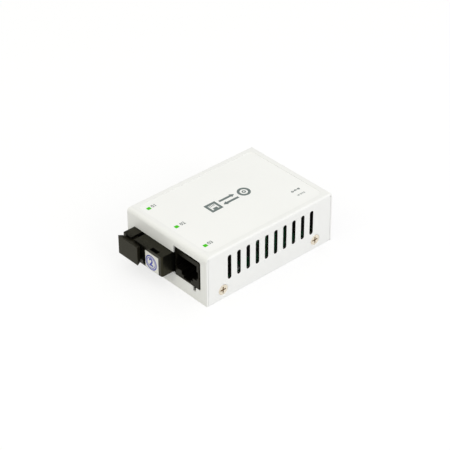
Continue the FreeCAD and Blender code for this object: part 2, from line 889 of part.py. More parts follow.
def make_jack_housing():
    """The jack's moulding: plug cavity with side ears, stepped latch channel and slots for the wires."""
    body = make_body("jack_housing", s.jack_centre, s.jack_sink, board_top)
    half, plug = s.jack_width / 2, s.plug_width / 2
    pad(body, "XY", 0, s.jack_height, rectangle(-half, 0, half, s.jack_depth))
    cut(body, "XZ", 0, s.plug_depth, rectangle(-plug, s.plug_low, plug, s.plug_high))
    ear = plug + s.ear_reach
    cut(body, "XZ", 0, s.ear_depth, rectangle(-ear, s.ear_low, -plug, s.ear_high),
        rectangle(plug, s.ear_low, ear, s.ear_high))
    latch, step = s.latch_width / 2, s.latch_step_width / 2
    cut(body, "XZ", 0, s.plug_depth, rectangle(-latch, s.latch_low, latch, s.plug_low))
    cut(body, "XZ", 0, s.latch_step_depth, rectangle(-step, s.latch_step_low, step, s.latch_low))

    room = (s.contact_slot - s.contact_gauge) / 2
    ceiling = s.contact_level + s.contact_gauge + room
    for place, tail in zip(contact_places, contact_tails):
        front = s.contact_front - room
        near, far = tail - s.contact_gauge / 2 - room, tail + s.contact_gauge / 2 + room
        shelf = s.contact_level - room
        slot = polygon((front, s.plug_high), (s.plug_depth, s.plug_high), (s.plug_depth, shelf),
                       (near, shelf), (near, 0), (far, 0), (far, ceiling), (front, ceiling))
        cut(body, "YZ", place - s.contact_slot / 2, place + s.contact_slot / 2, slot)
    pegs = [disc(s.jack_peg_x * side, s.jack_peg_y, s.jack_peg_radius) for side in (1, -1)]
    pad(body, "XY", tail_end, 0, *pegs)
    fillet(body, s.jack_edge, *[{"x": half * side, "y": 0} for side in (1, -1)], {"y": 0, "z": s.jack_height})
    return body


def make_jack_contacts():
    """Eight bent spring wires, with their tails in two rows through the board."""
    body = make_body("jack_contacts", s.jack_centre, s.jack_sink, board_top)
    gauge, level, front = s.contact_gauge, s.contact_level, s.contact_front
    for place, tail in zip(contact_places, contact_tails):
        near, far = tail - gauge / 2, tail + gauge / 2
        wire = polygon((near, tail_end), (far, tail_end), (far, level + gauge), (front, level + gauge),
                       (front, level), (s.contact_tip - gauge, s.contact_tip_level),
                       (s.contact_tip, s.contact_tip_level), (s.contact_tip, s.contact_tip_level + gauge),
                       (front + gauge * 3, level), (near, level))
        pad(body, "YZ", place - s.contact_width / 2, place + s.contact_width / 2, wire)
    return body


# ---- optical transceiver; y = 0 is still the case's front wall ----


def make_transceiver_housing():
    """The moulded block: a port with its keyway, a blank half with a moulding pocket, a hollow rear."""
    body = make_body("transceiver_housing", s.block_centre, 0, block_bottom)
    half, front, high = s.block_width / 2, -s.block_proud, s.block_height
    rear = s.block_length - s.block_proud
    pad(body, "XY", 0, high, rectangle(-half, front, half, rear))
    fillet(body, s.block_corner, {"x": half, "y": front})
    fillet(body, s.block_port_corner, {"x": -half, "y": front})
    port_end = front + s.port_depth
    cut(body, "XZ", front, port_end, centred(s.port_x, s.port_z, s.port_width, s.port_height))
    port_roof = s.port_z + s.port_height / 2
    cut(body, "XY", port_roof, high,
        rectangle(s.port_x - s.key_width / 2, front, s.port_x + s.key_width / 2, front + s.key_length))
    cut(body, "XZ", front, front + s.groove_depth,
        rectangle(s.groove_left, s.groove_foot, s.groove_right, high - s.groove_head))
    pocket_front = front + s.pocket_front
    cut(body, "XY", high - s.pocket_depth, high,
        rectangle(s.pocket_left, pocket_front, s.pocket_right, pocket_front + s.pocket_length))

    wall = s.shell_wall
    cavity = port_end + s.bulkhead
    cut(body, "XY", 0, high - wall, rectangle(wall - half, cavity, half - wall, rear - wall))
    cut(body, "XZ", port_end, cavity, disc(s.port_x, s.port_z, s.barrel_radius + s.optic_gap))
    pegs = [disc(s.block_peg_x * side, s.block_peg_y, s.block_peg_radius) for side in (1, -1)]
    pad(body, "XY", tail_end - s.block_lift, 0, *pegs)
    return body


def make_transceiver_board():
    """The transceiver's own small board, in the hollow rear of its block."""
    body = make_body("transceiver_board", s.block_centre, 0, block_bottom + s.inner_board_level)
    half = s.block_width / 2 - s.shell_wall
    rear = s.block_length - s.block_proud - s.shell_wall
    pad(body, "XY", 0, s.inner_board_gauge,
        rectangle(-half, rear - s.inner_board_length, half, rear))
    return body


def make_transceiver_pins():
    """Nine square pins from the transceiver's board through the main board."""
    body = make_body("transceiver_pins", s.block_centre, 0, block_bottom)
    low = tail_end - s.block_lift
    section = centred(pin_places[0], s.pin_row, s.pin_side, s.pin_side)
    first = pad(body, "XY", low, s.inner_board_level, section)
    repeat(body, [first], "X", s.pin_pitch, s.pin_count)
    return body


def make_optical_barrel():
    """The metal barrel that holds the light path; its origin is the centre of the port's mouth."""
    body = make_body("optical_barrel", port_x, -s.block_proud, port_level)
    bore = s.sleeve_radius + s.optic_gap
    stub = s.sleeve_radius - s.sleeve_wall
    seat = s.sleeve_front + s.sleeve_length + s.optic_gap
    shoulder = s.port_depth + s.bulkhead
    end = shoulder + s.barrel_flange_length
    turn(body, "Y", (0, 0, 0), (s.barrel_front, bore), (s.barrel_front, s.barrel_radius),
         (shoulder, s.barrel_radius), (shoulder, s.barrel_flange_radius), (end, s.barrel_flange_radius),
         (end, 0), (shoulder, 0), (shoulder, stub), (seat, stub), (seat, bore))
    return body


def make_alignment_sleeve():
    """The split ceramic sleeve that lines the fibre up."""
    body = make_body("alignment_sleeve", port_x, -s.block_proud, port_level)
    outer, end = s.sleeve_radius, s.sleeve_front + s.sleeve_length
    inner = outer - s.sleeve_wall
    turn(body, "Y", (0, 0, 0), (s.sleeve_front, inner), (s.sleeve_front, outer), (end, outer), (end, inner))
    cut(body, "XZ", s.sleeve_front, end, rectangle(-s.sleeve_slit / 2, 0, s.sleeve_slit / 2, outer * 2))
    return body


def make_ferrule_stub():
    """The ceramic stub at the back of the sleeve, with a chamfered end."""
    body = make_body("ferrule_stub", port_x, -s.block_proud, port_level)
    radius = s.sleeve_radius - s.sleeve_wall - s.optic_gap
    end = s.port_depth + s.bulkhead
    turn(body, "Y", (0, 0, 0), (s.ferrule_front, 0), (s.ferrule_front, radius - s.ferrule_bevel),
         (s.ferrule_front + s.ferrule_bevel, radius), (end, radius), (end, 0))
    return body


def make_port_latch_clip():
    """The insert at the back of the port, with two hooked arms that hold a connector."""
    body = make_body("port_latch_clip", port_x, -s.block_proud, port_level)
    back, plate = s.port_depth, s.port_depth - s.clip_plate
    inset = s.cap_plug_gap
    width, height = s.port_width - inset * 2, s.port_height - inset * 2
    pad(body, "XZ", plate, back, centred(0, 0, width, height))
    cut(body, "XZ", plate, back, disc(0, 0, s.barrel_radius + s.optic_gap))
    outer = width / 2
    inner, front = outer - s.clip_arm_thickness, s.clip_arm_front
    hook_end = front + s.clip_hook_length
    arm = [(outer, plate), (outer, front), (inner, front), (inner - s.clip_hook, front + s.clip_hook),
           (inner - s.clip_hook, hook_end), (inner, hook_end), (inner, plate)]
    mirrored = [(-x, y) for x, y in arm]
    pad(body, "XY", -(s.clip_arm_height / 2), s.clip_arm_height / 2, polygon(*arm), polygon(*mirrored))
    return body


def make_transceiver_label():
    """The paper label on the blank half's face."""
    body = make_body("transceiver_label", s.block_centre, -s.block_proud, block_bottom)
    right, top = s.label_left + s.label_width, s.label_foot + s.label_height
    pad(body, "XZ", -s.label_thickness, 0, rectangle(s.label_left, s.label_foot, right, top))
    return body


def make_dust_cap():
    """A pull-off cap: tapered grip plate and a hollow plug; its origin is the centre of the port's mouth."""
    body = make_body("dust_cap", port_x, -s.block_proud, port_level)
    back, front = -s.cap_gap, -s.cap_gap - s.cap_plate
    wide = make_sketch(body, "XZ", (0, front, 0), [centred(0, 0, s.cap_front_width, s.cap_front_height)])
    narrow = make_sketch(body, "XZ", (0, back, 0), [centred(0, 0, s.cap_back_width, s.cap_back_height)])
    loft = add_feature(body, "AdditiveLoft", wide)
    loft.Sections = [narrow]
    loft.Ruled = True
    width, height = s.port_width - s.cap_plug_gap * 2, s.port_height - s.cap_plug_gap * 2
    depth, wall = s.cap_plug_depth, s.cap_plug_wall
    pad(body, "XZ", back, depth, centred(0, 0, width, height))
    cut(body, "XZ", depth - s.cap_plug_hollow, depth, centred(0, 0, width - wall * 2, height - wall * 2))
    return body


# ---- power socket; y = 0 is its face in the rear wall, and it reaches inwards ----


def socket_tab_place():
    """How far behind the socket's face its rear tab stands."""
    return s.socket_length + s.socket_tab_gauge / 2


def spring_tab_place():
    return s.socket_bore_depth - s.spring_gauge


def make_socket_housing():
    """A square face with a round-backed body, bored for the plug and slotted for the spring."""
    body = make_body("socket_housing", s.socket_centre, socket_face, board_top)
    half, axis = s.socket_width / 2, s.socket_axis
    pad(body, "XZ", -s.socket_flange, 0, rectangle(-half, 0, half, s.socket_height))
    fillet(body, s.socket_corner, *[{"x": half * side, "z": s.socket_height} for side in (1, -1)])
    round_body = s.socket_body_radius
    rear = -s.socket_length
    pad(body, "XZ", rear, -s.socket_flange, rectangle(-round_body, 0, round_body, axis))
    pad(body, "XZ", rear, -s.socket_flange, disc(0, axis, round_body))
    cut(body, "XZ", -s.socket_bore_depth, 0, disc(0, axis, s.socket_bore))
    cut(body, "XZ", rear, -s.socket_bore_depth, disc(0, axis, s.socket_pin_radius + s.optic_gap))
    slot, low = s.spring_width / 2 + s.spring_slot_gap, spring_level() - s.spring_slot_gap
    end = -spring_tab_place() - s.spring_gauge - s.spring_slot_gap
    cut(body, "XY", low, axis - s.socket_bore / 2, rectangle(-slot, end, slot, -s.socket_flange))
    cut(body, "XY", 0, low, rectangle(-slot, end, slot, end + (s.spring_gauge + s.spring_slot_gap) * 2))
    return body


def spring_level():
    """The height of the spring's flat above the board: just under the bore."""
    return s.socket_axis - s.socket_bore - s.spring_gauge - s.spring_slot_gap


def make_socket_pin():
    """The centre pin with its rear solder tab."""
    body = make_body("socket_pin", s.socket_centre, socket_face, board_top)
    radius, axis = s.socket_pin_radius, s.socket_axis
    tip = -s.socket_pin_front
    rear = -s.socket_length
    turn(body, "Y", (0, 0, axis), (rear, 0), (rear, radius), (tip - radius / 2, radius),
         (tip, radius / 2), (tip, 0))
    half = s.socket_tab_width / 2
    pad(body, "XZ", rear - s.socket_tab_gauge, rear, rectangle(-half, tail_end, half, axis + half))
    return body


def make_socket_spring():
    """The sleeve contact: a bowed strip under the bore, with a tail through the board."""
    body = make_body("socket_spring", s.socket_centre, socket_face, board_top)
    gauge, level, half = s.spring_gauge, spring_level(), s.spring_width / 2
    tail = -spring_tab_place() - gauge / 2
    near, far = -s.socket_bore_depth + gauge * 2, -s.socket_flange - gauge
    peak, top = (near + far) / 2, level + s.spring_rise + s.spring_slot_gap
    strip = polygon((tail, tail_end), (tail + gauge, tail_end), (tail + gauge, level), (near, level),
                    (peak - gauge, top), (peak + gauge, top), (far, level), (far, level + gauge),
                    (peak + gauge * 1.5, top + gauge), (peak - gauge * 1.5, top + gauge),
                    (near, level + gauge), (tail, level + gauge))
    pad(body, "YZ", -half, half, strip)
    return body


# ---- indicators ----


def make_led_chips():
    """Three lamps on the board under the light guide's risers."""
    body = make_body("led_chips", 0, s.guide_row, board_top)
    for place in window_places:
        pad(body, "XY", 0, s.lamp_height, centred(place, 0, s.lamp_length, s.lamp_width))
    return body


def make_light_guide():
    """One clear moulding: three bent rods from the lamps to the roof's windows, and a bar joining them."""
    body = make_body("light_guide", 0, 0, board_top)
    half, low = s.window_length / 2, s.jack_height + s.guide_level
    high, tip = low + s.guide_thickness, film_top - board_top
    front, rear = s.window_row - half, s.guide_row + half
    foot = s.lamp_height + s.guide_lamp_gap
    rod = polygon((front, tip), (front + s.window_length, tip), (front + s.window_length, high),
                  (rear - s.guide_bevel, high), (rear, high - s.guide_bevel), (rear, foot),
                  (rear - s.window_length, foot), (rear - s.window_length, low), (front + s.guide_bevel, low),
                  (front, low + s.guide_bevel))
    heel = rear + s.guide_foot
    for place in window_places:
        pad(body, "YZ", place - s.window_width / 2, place + s.window_width / 2, rod)
    bar = rear - s.window_length - s.guide_bar
    pad(body, "XY", low, low + s.guide_bar,
        rectangle(window_places[0] - s.window_width / 2, bar,
                  window_places[2] + s.window_width / 2, bar + s.guide_bar))
    leg = [rectangle(place - s.guide_foot_width / 2, rear, place + s.guide_foot_width / 2, heel)
           for place in window_places]
    pad(body, "XY", 0, s.guide_foot_height, *leg)
    return body


# ---- parts soldered on the board ----


def make_network_transformer():
    body = make_body("network_transformer", s.transformer_x, s.transformer_y, board_top)
    half, deep = s.transformer_length / 2, s.transformer_width / 2
    top = s.transformer_lift + s.transformer_height
    pad(body, "XY", s.transformer_lift, top, rectangle(-half, -deep, half, deep))
    chamfer(body, s.transformer_bevel, *[{"y": deep * side, "z": top} for side in (1, -1)])
    return body


def make_transformer_leads():
    """Gull-wing leads in two rows of eight."""
    body = make_body("transformer_leads", s.transformer_x, s.transformer_y, board_top)
    side, gauge, reach = s.transformer_width / 2, s.lead_gauge, s.lead_reach
    knee = side + s.lead_knee
    lead = polygon((side, s.lead_shoulder), (knee - gauge, s.lead_shoulder), (knee - gauge, 0),
                   (side + reach, 0), (side + reach, gauge), (knee, gauge),
                   (knee, s.lead_shoulder + gauge), (side, s.lead_shoulder + gauge))
    first = s.lead_pitch * ((s.lead_count - 1) / -2)
    made = pad(body, "YZ", first - s.lead_width / 2, first + s.lead_width / 2, lead)
    repeat(body, [made], "X", s.lead_pitch, s.lead_count)
    mirror_body(body, "XZ")
    return body


def make_converter_chip():
    """The square converter chip, with a pin-one dimple."""
    body = make_body("converter_chip", s.chip_x, s.chip_y, board_top)
    pad(body, "XY", 0, s.chip_height, centred(0, 0, s.chip_side, s.chip_side))
    dimple = s.dimple_inset - s.chip_side / 2
    cut(body, "XY", s.chip_height - s.dimple_depth, s.chip_height, disc(dimple, dimple, s.dimple_radius))
    return body


def make_crystal():
    """A low metal can with round ends on a flat rim."""
    body = make_body("crystal", s.crystal_x, s.crystal_y, board_top)
    rim, end = s.crystal_rim, s.crystal_length / 2
    pad(body, "XY", 0, rim, upright_slot(0, -end, end, s.crystal_width))
    pad(body, "XY", rim, s.crystal_height, upright_slot(0, rim - end, end - rim, s.crystal_width - rim * 2))
    return body


def make_electrolytic_capacitors():
    """Two aluminium cans on square bases."""
    body = make_body("electrolytic_capacitors", 0, s.can_y, board_top)
    radius, base, top = s.can_radius, s.can_base_height, s.can_height
    groove, bevel = s.can_groove, s.can_bevel
    for number in range(round(s.can_count.value)):
        place = s.can_left + s.can_pitch * number
        pad(body, "XY", 0, base, centred(place, 0, s.can_base, s.can_base))
        turn(body, "Z", (place, 0, 0), (base, 0), (base, radius), (base + groove, radius),
             (base + groove * 2, s.can_neck), (base + groove * 3, radius), (top - bevel, radius),
             (top, radius - bevel), (top, 0))
    return body


def make_power_inductor():
    body = make_body("power_inductor", s.coil_x, s.coil_y, board_top)
    side, high = s.coil_side / 2, s.coil_height
    pad(body, "XY", 0, high, rectangle(-side, -side, side, side))
    chamfer(body, s.coil_bevel, *[{"x": side * a, "y": side * b} for a in (1, -1) for b in (1, -1)])
    cut(body, "XY", high - s.coil_dish_depth, high, disc(0, 0, s.coil_dish_radius))
    return body


def make_voltage_regulator():
    """A small-outline regulator with its wide tab on one side."""
    body = make_body("voltage_regulator", s.regulator_x, s.regulator_y, board_top)
    wide, deep = s.regulator_length / 2, s.regulator_width / 2
    pad(body, "XY", 0, s.regulator_height, rectangle(-wide, -deep, wide, deep))
    chamfer(body, s.regulator_bevel, *[{"y": deep * side, "z": s.regulator_height} for side in (1, -1)])
    half = s.regulator_tab / 2
    pad(body, "XY", 0, s.regulator_tab_gauge, rectangle(-half, deep, half, deep + s.regulator_tab_reach))
    return body


def make_chip_row(label, first, row, pitch, count):
    """A row of small two-ended parts."""
    body = make_body(label, 0, row, board_top)
    made = pad(body, "XY", 0, s.chip_part_height, centred(first, 0, s.chip_part_width, s.chip_part_length))
    repeat(body, [made], "X", pitch, count)
    return body


make_top_cover()
make_base_tray()
make_case_screws()
make_label_film()
make_board_standoffs()
make_board_screws()
make_circuit_board()
make_jack_housing()
make_jack_contacts()
make_transceiver_housing()
make_transceiver_board()
make_transceiver_pins()
make_optical_barrel()
make_alignment_sleeve()
make_ferrule_stub()
make_port_latch_clip()
make_transceiver_label()
make_dust_cap()
make_socket_housing()
make_socket_pin()
make_socket_spring()
make_led_chips()
make_light_guide()
make_network_transformer()
make_transformer_leads()
make_converter_chip()
make_crystal()
make_electrolytic_capacitors()
make_power_inductor()
make_voltage_regulator()
make_chip_row("chip_capacitors", s.capacitor_first, s.capacitor_row, s.capacitor_pitch, s.capacitor_count)
make_chip_row("chip_resistors", s.resistor_first, s.resistor_row, s.resistor_pitch, s.resistor_count)
doc.recompute()

# ---- checks and export ----

for item in doc.Objects:
    if "Invalid" in item.State or "Error" in item.State:
        raise ValueError(f"{item.Label} of {item.getParentGeoFeatureGroup()} did not build: {item.State}")
    if item.isDerivedFrom("PartDesign::Pocket") or item.isDerivedFrom("PartDesign::Groove"):
        before = item.BaseFeature.Shape.Volume
        if not item.Shape.Volume < before - 1e-6:
            raise ValueError(f"{item.Label} of {item.getParentGeoFeatureGroup().Label} cuts nothing")
for body in bodies:
    if body.Shape.isNull() or not body.Shape.isValid():
        raise ValueError(f"{body.Label} has no valid shape")

os.makedirs("parts", exist_ok=True)
for body in bodies:
    body.Shape.exportStep(f"parts/{body.Label}.step")
    print(f"{body.Label}: {len(body.Shape.Solids)} solids, {body.Shape.Volume:.1f} mm3")
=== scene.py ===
# Fibre media converter: finishes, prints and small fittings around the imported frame. Metres, ports on -Y.
import json
import math

import bmesh
import bpy
from mathutils import Matrix, Vector

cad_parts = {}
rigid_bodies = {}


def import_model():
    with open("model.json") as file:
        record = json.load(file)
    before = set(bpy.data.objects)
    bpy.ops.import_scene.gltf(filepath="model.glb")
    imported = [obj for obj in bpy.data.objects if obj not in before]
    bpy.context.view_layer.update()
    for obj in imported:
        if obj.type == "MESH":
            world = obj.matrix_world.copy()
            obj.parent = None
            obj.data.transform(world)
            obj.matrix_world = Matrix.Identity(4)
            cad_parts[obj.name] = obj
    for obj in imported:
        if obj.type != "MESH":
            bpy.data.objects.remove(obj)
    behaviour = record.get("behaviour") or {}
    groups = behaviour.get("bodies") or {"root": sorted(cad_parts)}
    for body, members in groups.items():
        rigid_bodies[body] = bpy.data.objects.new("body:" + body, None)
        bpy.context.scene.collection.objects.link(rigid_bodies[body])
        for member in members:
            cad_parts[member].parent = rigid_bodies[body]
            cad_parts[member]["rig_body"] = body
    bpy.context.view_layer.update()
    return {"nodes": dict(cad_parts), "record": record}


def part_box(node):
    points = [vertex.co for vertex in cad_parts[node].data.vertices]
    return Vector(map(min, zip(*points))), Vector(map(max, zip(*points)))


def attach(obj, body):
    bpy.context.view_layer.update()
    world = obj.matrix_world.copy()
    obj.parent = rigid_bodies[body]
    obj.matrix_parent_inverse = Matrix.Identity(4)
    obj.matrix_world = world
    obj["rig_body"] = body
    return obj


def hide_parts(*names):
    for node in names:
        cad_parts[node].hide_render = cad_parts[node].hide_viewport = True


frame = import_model()
mm = 0.001
scene = bpy.context.scene
print("frame loaded")

# node trees


def treeNode(tree, kind, links=(), **values):
    # a node with its properties set, and each input linked or given a value
    node = tree.nodes.new(kind)
    for label, value in values.items():
        setattr(node, label, value)
    for source, label in links:
        if isinstance(source, bpy.types.NodeSocket):
            tree.links.new(source, node.inputs[label])
        else:
            node.inputs[label].default_value = source
    return node


def mathNode(tree, operation, *values, clamp=False):
    links = [(value, i) for i, value in enumerate(values)]
    return treeNode(tree, "ShaderNodeMath", links, operation=operation, use_clamp=clamp).outputs[0]


def newTree(name, kind, inputs, outputs):
    # an empty group with its named inputs and outputs
    tree = bpy.data.node_groups.new(name, kind)
    for label, socketKind, value in inputs:
        socket = tree.interface.new_socket(name=label, in_out="INPUT", socket_type="NodeSocket" + socketKind)
        if value is not None:
            socket.default_value = value
    for label, socketKind in outputs:
        tree.interface.new_socket(name=label, in_out="OUTPUT", socket_type="NodeSocket" + socketKind)
    return tree, treeNode(tree, "NodeGroupInput").outputs, treeNode(tree, "NodeGroupOutput").inputs


# camera and stage

camera = {
    "position": (0.42137, -0.373725, 0.40698),
    "back": (0.61223, -0.54490, 0.57293),   # from the object towards the lens
    "roll": math.radians(-0.35),
    "lens": 130.87,
    "sensor": 36.0,
}

stage = {
    "floorSize": 6.0,
    "floorLevel": -0.02 * mm,
    "bounce": 0.6,
    "seenDiffuse": 0.3,
    "seenGlow": 0.705,
    "worldLight": 0.8,
    "worldMirrored": 0.3,
}

# name: place, aim, size, power in watts, colour
lamps = {
    "topSoftbox": ((0.10, -0.05, 1.10), (0.0, 0.0, 0.0), 1.1, 0.7, (1.0, 1.0, 1.0)),
    "rightSoftbox": ((1.00, 0.05, 0.55), (0.0, 0.0, 0.01), 0.8, 4.0, (1.0, 1.0, 1.0)),
    "frontSoftbox": ((-0.25, -0.95, 0.80), (0.0, 0.0, 0.01), 0.7, 1.6, (1.0, 0.98, 0.55)),
}


def makeCamera():
    back = Vector(camera["back"]).normalized()
    right = Vector((-back.y, back.x, 0)).normalized()
    up = back.cross(right)
    cosine, sine = math.cos(camera["roll"]), math.sin(camera["roll"])
    across = right * cosine + up * sine
    upward = up * cosine - right * sine
    turned = Matrix((across, upward, back)).transposed()
    data = bpy.data.cameras.new("camera")
    data.lens = camera["lens"]
    data.sensor_width = camera["sensor"]
    item = bpy.data.objects.new("camera", data)
    item.matrix_world = Matrix.Translation(camera["position"]) @ turned.to_4x4()
    scene.collection.objects.link(item)
    scene.camera = item


def makeLamps():
    for name, (place, aim, size, power, colour) in lamps.items():
        data = bpy.data.lights.new(name, "AREA")
        data.shape = "DISK"
        data.size = size
        data.energy = power
        data.color = colour
        item = bpy.data.objects.new(name, data)
        turned = (Vector(place) - Vector(aim)).to_track_quat("Z", "Y")
        item.matrix_world = Matrix.Translation(place) @ turned.to_matrix().to_4x4()
        scene.collection.objects.link(item)


def mixShaders(tree, factor, first, second):
    return treeNode(tree, "ShaderNodeMixShader", [(factor, 0), (first.outputs[0], 1), (second.outputs[0], 2)])


def seenDirectly(tree):
    # 1 for camera, mirror and glass rays, 0 for light that bounces on
    ray = treeNode(tree, "ShaderNodeLightPath").outputs
    mirrored = mathNode(tree, "MAXIMUM", ray["Is Camera Ray"], ray["Is Glossy Ray"])
    return mathNode(tree, "MAXIMUM", mirrored, ray["Is Transmission Ray"])


def makeWorld():
    world = bpy.data.worlds.new("studio")
    scene.world = world
    world.use_nodes = True
    tree, white = world.node_tree, (1, 1, 1, 1)
    tree.nodes.clear()
    light = treeNode(tree, "ShaderNodeBackground", [(white, "Color"), (stage["worldLight"], "Strength")])
    # the studio's dark upper half, as gloss reflects it
    ray = treeNode(tree, "ShaderNodeLightPath").outputs
    level = treeNode(tree, "ShaderNodeMapRange", [
        (ray["Is Glossy Ray"], "Value"), (1.0, "To Min"), (stage["worldMirrored"], "To Max")])
    seen = treeNode(tree, "ShaderNodeBackground", [(white, "Color"), (level.outputs["Result"], "Strength")])
    mix = mixShaders(tree, seenDirectly(tree), light, seen)
    treeNode(tree, "ShaderNodeOutputWorld", [(mix.outputs[0], "Surface")])


def makeFloor():
    half, level = stage["floorSize"] / 2, stage["floorLevel"]
    mesh = bpy.data.meshes.new("floor")
    mesh.from_pydata([(-half, -half, level), (half, -half, level), (half, half, level), (-half, half, level)],
                     [], [(0, 1, 2, 3)])
    floor = bpy.data.objects.new("floor", mesh)
    scene.collection.objects.link(floor)
    material = bpy.data.materials.new("paperSweep")
    material.use_nodes = True
    tree = material.node_tree
    tree.nodes.clear()
    bounce = treeNode(tree, "ShaderNodeBsdfDiffuse", [((stage["bounce"],) * 3 + (1,), "Color")])
    paper = treeNode(tree, "ShaderNodeBsdfDiffuse", [((stage["seenDiffuse"],) * 3 + (1,), "Color")])
    glow = treeNode(tree, "ShaderNodeEmission", [(stage["seenGlow"], "Strength")])
    both = treeNode(tree, "ShaderNodeAddShader", [(paper.outputs[0], 0), (glow.outputs[0], 1)])
    mix = mixShaders(tree, seenDirectly(tree), bounce, both)
    treeNode(tree, "ShaderNodeOutputMaterial", [(mix.outputs[0], "Surface")])
    mesh.materials.append(material)


makeCamera()
makeLamps()
makeWorld()
makeFloor()
scene.view_settings.view_transform = "Standard"
print("camera, lamps and floor made")

# shader groups shared by the finishes


def noiseNode(tree, vector, scale, detail, roughness=0.5):
    node = treeNode(tree, "ShaderNodeTexNoise", [
        (vector, "Vector"), (scale, "Scale"), (detail, "Detail"), (roughness, "Roughness")])
    return node.outputs["Fac"]


def makeGrainGroup():
    # fine grain for a bump, with a slow drift and fine specks for tone
    group, start, end = newTree(
        "fineGrain", "ShaderNodeTree",
        [("Vector", "Vector", None), ("Grain Scale", "Float", 2600.0), ("Drift Scale", "Float", 60.0),
         ("Speck Scale", "Float", 5200.0)],
        [("Height", "Float"), ("Drift", "Float"), ("Speck", "Float")])
    vector, scale = start["Vector"], start["Grain Scale"]
    fine = mathNode(group, "MULTIPLY", noiseNode(group, vector, scale, 2.0, 0.55), 0.6)
    coarse = noiseNode(group, vector, mathNode(group, "MULTIPLY", scale, 0.3), 1.0)
    height = mathNode(group, "ADD", fine, mathNode(group, "MULTIPLY", coarse, 0.4))
    group.links.new(height, end["Height"])
    group.links.new(noiseNode(group, vector, start["Drift Scale"], 3.0), end["Drift"])
    group.links.new(noiseNode(group, vector, start["Speck Scale"], 1.0), end["Speck"])
    return group


edgeWear = {"samples": 6, "gain": 5.0, "patchFloor": 0.25, "patchGain": 1.8}


def makeEdgeGroup():
    # 1 on edges that handling or moulding rounds, 0 on faces, broken up by noise
    group, start, end = newTree(
        "edgeWear", "ShaderNodeTree",
        [("Vector", "Vector", None), ("Reach", "Float", 0.0002), ("Breakup Scale", "Float", 900.0)],
        [("Mask", "Float")])
    bevel = treeNode(group, "ShaderNodeBevel", [(start["Reach"], "Radius")], samples=edgeWear["samples"])
    geometry = treeNode(group, "ShaderNodeNewGeometry")
    dot = treeNode(group, "ShaderNodeVectorMath", [(bevel.outputs[0], 0), (geometry.outputs["Normal"], 1)],
                   operation="DOT_PRODUCT")
    tilt = mathNode(group, "SUBTRACT", 1.0, dot.outputs["Value"])
    turned = mathNode(group, "MULTIPLY", tilt, edgeWear["gain"], clamp=True)
    broken = noiseNode(group, start["Vector"], start["Breakup Scale"], 3.0)
    above = mathNode(group, "SUBTRACT", broken, edgeWear["patchFloor"])
    patches = mathNode(group, "MULTIPLY", above, edgeWear["patchGain"], clamp=True)
    group.links.new(mathNode(group, "MULTIPLY", turned, patches), end["Mask"])
    return group


def makeBrushGroup():
    # drawn or turned lines: noise squeezed along the stretch given
    group, start, end = newTree(
        "drawnLines", "ShaderNodeTree",
        [("Vector", "Vector", None), ("Stretch", "Vector", (9000.0, 300.0, 9000.0))],
        [("Height", "Float"), ("Sheen", "Float")])
    stretched = treeNode(group, "ShaderNodeVectorMath", [(start["Vector"], 0), (start["Stretch"], 1)],
                         operation="MULTIPLY")
    group.links.new(noiseNode(group, stretched.outputs[0], 1.0, 2.0), end["Height"])
    group.links.new(noiseNode(group, start["Vector"], 420.0, 2.0), end["Sheen"])
    return group


grainGroup = makeGrainGroup()
edgeGroup = makeEdgeGroup()
brushGroup = makeBrushGroup()

# finishes: linear colours, scales per metre, depths in mm


def newFinish(name, roughness, metallic=0.0):
    material = bpy.data.materials.new(name)
    material.use_nodes = True
    tree = material.node_tree
    shader = tree.nodes["Principled BSDF"]
    shader.inputs["Roughness"].default_value = roughness
    shader.inputs["Metallic"].default_value = metallic
    place = treeNode(tree, "ShaderNodeTexCoord").outputs["Object"]
    return material, tree, shader, place


def useGroup(tree, group, place, **values):
    links = [(value, label.replace("_", " ")) for label, value in values.items()]
    return treeNode(tree, "ShaderNodeGroup", [(place, "Vector"), *links], node_tree=group).outputs


def scaled(values, factor):
    return tuple(value * factor for value in values)


def mixColours(tree, factor, low, high):
    low, high = (value if isinstance(value, bpy.types.NodeSocket) else (*value, 1) for value in (low, high))
    return treeNode(tree, "ShaderNodeMix", [(factor, 0), (low, 6), (high, 7)], data_type="RGBA").outputs[2]


def spread(tree, factor, low, high):
    # the middle of a noise's range drawn out to the range given
    node = treeNode(tree, "ShaderNodeMapRange", [
        (factor, "Value"), (0.3, "From Min"), (0.7, "From Max"), (low, "To Min"), (high, "To Max")])
    return node.outputs["Result"]


def driftColour(tree, grain, low, high):
    return mixColours(tree, spread(tree, grain["Drift"], 0.0, 1.0), low, high)


def varyRoughness(tree, shader, factor, low, high):
    tree.links.new(spread(tree, factor, low, high), shader.inputs["Roughness"])


def addBump(tree, shader, height, depth):
    bump = treeNode(tree, "ShaderNodeBump", [(height, "Height"), (depth * mm, "Distance")])
    tree.links.new(bump.outputs[0], shader.inputs["Normal"])


def coatFinish(name, colour, shade, roughness, thinned=0.965, peel=0.012):
    # powder coat: orange peel, a slow drift of tone, slightly thinner on the folds
    material, tree, shader, place = newFinish(name, roughness)
    grain = useGroup(tree, grainGroup, place, Grain_Scale=2300.0, Drift_Scale=45.0)
    edge = useGroup(tree, edgeGroup, place, Reach=0.25 * mm, Breakup_Scale=500.0)
    tone = driftColour(tree, grain, shade, colour)
    softEdge = mathNode(tree, "MULTIPLY", edge["Mask"], 0.5)
    tree.links.new(mixColours(tree, softEdge, tone, scaled(shade, thinned)), shader.inputs["Base Color"])
    varyRoughness(tree, shader, grain["Speck"], roughness - 0.06, roughness + 0.06)
    addBump(tree, shader, grain["Height"], peel)
    return material


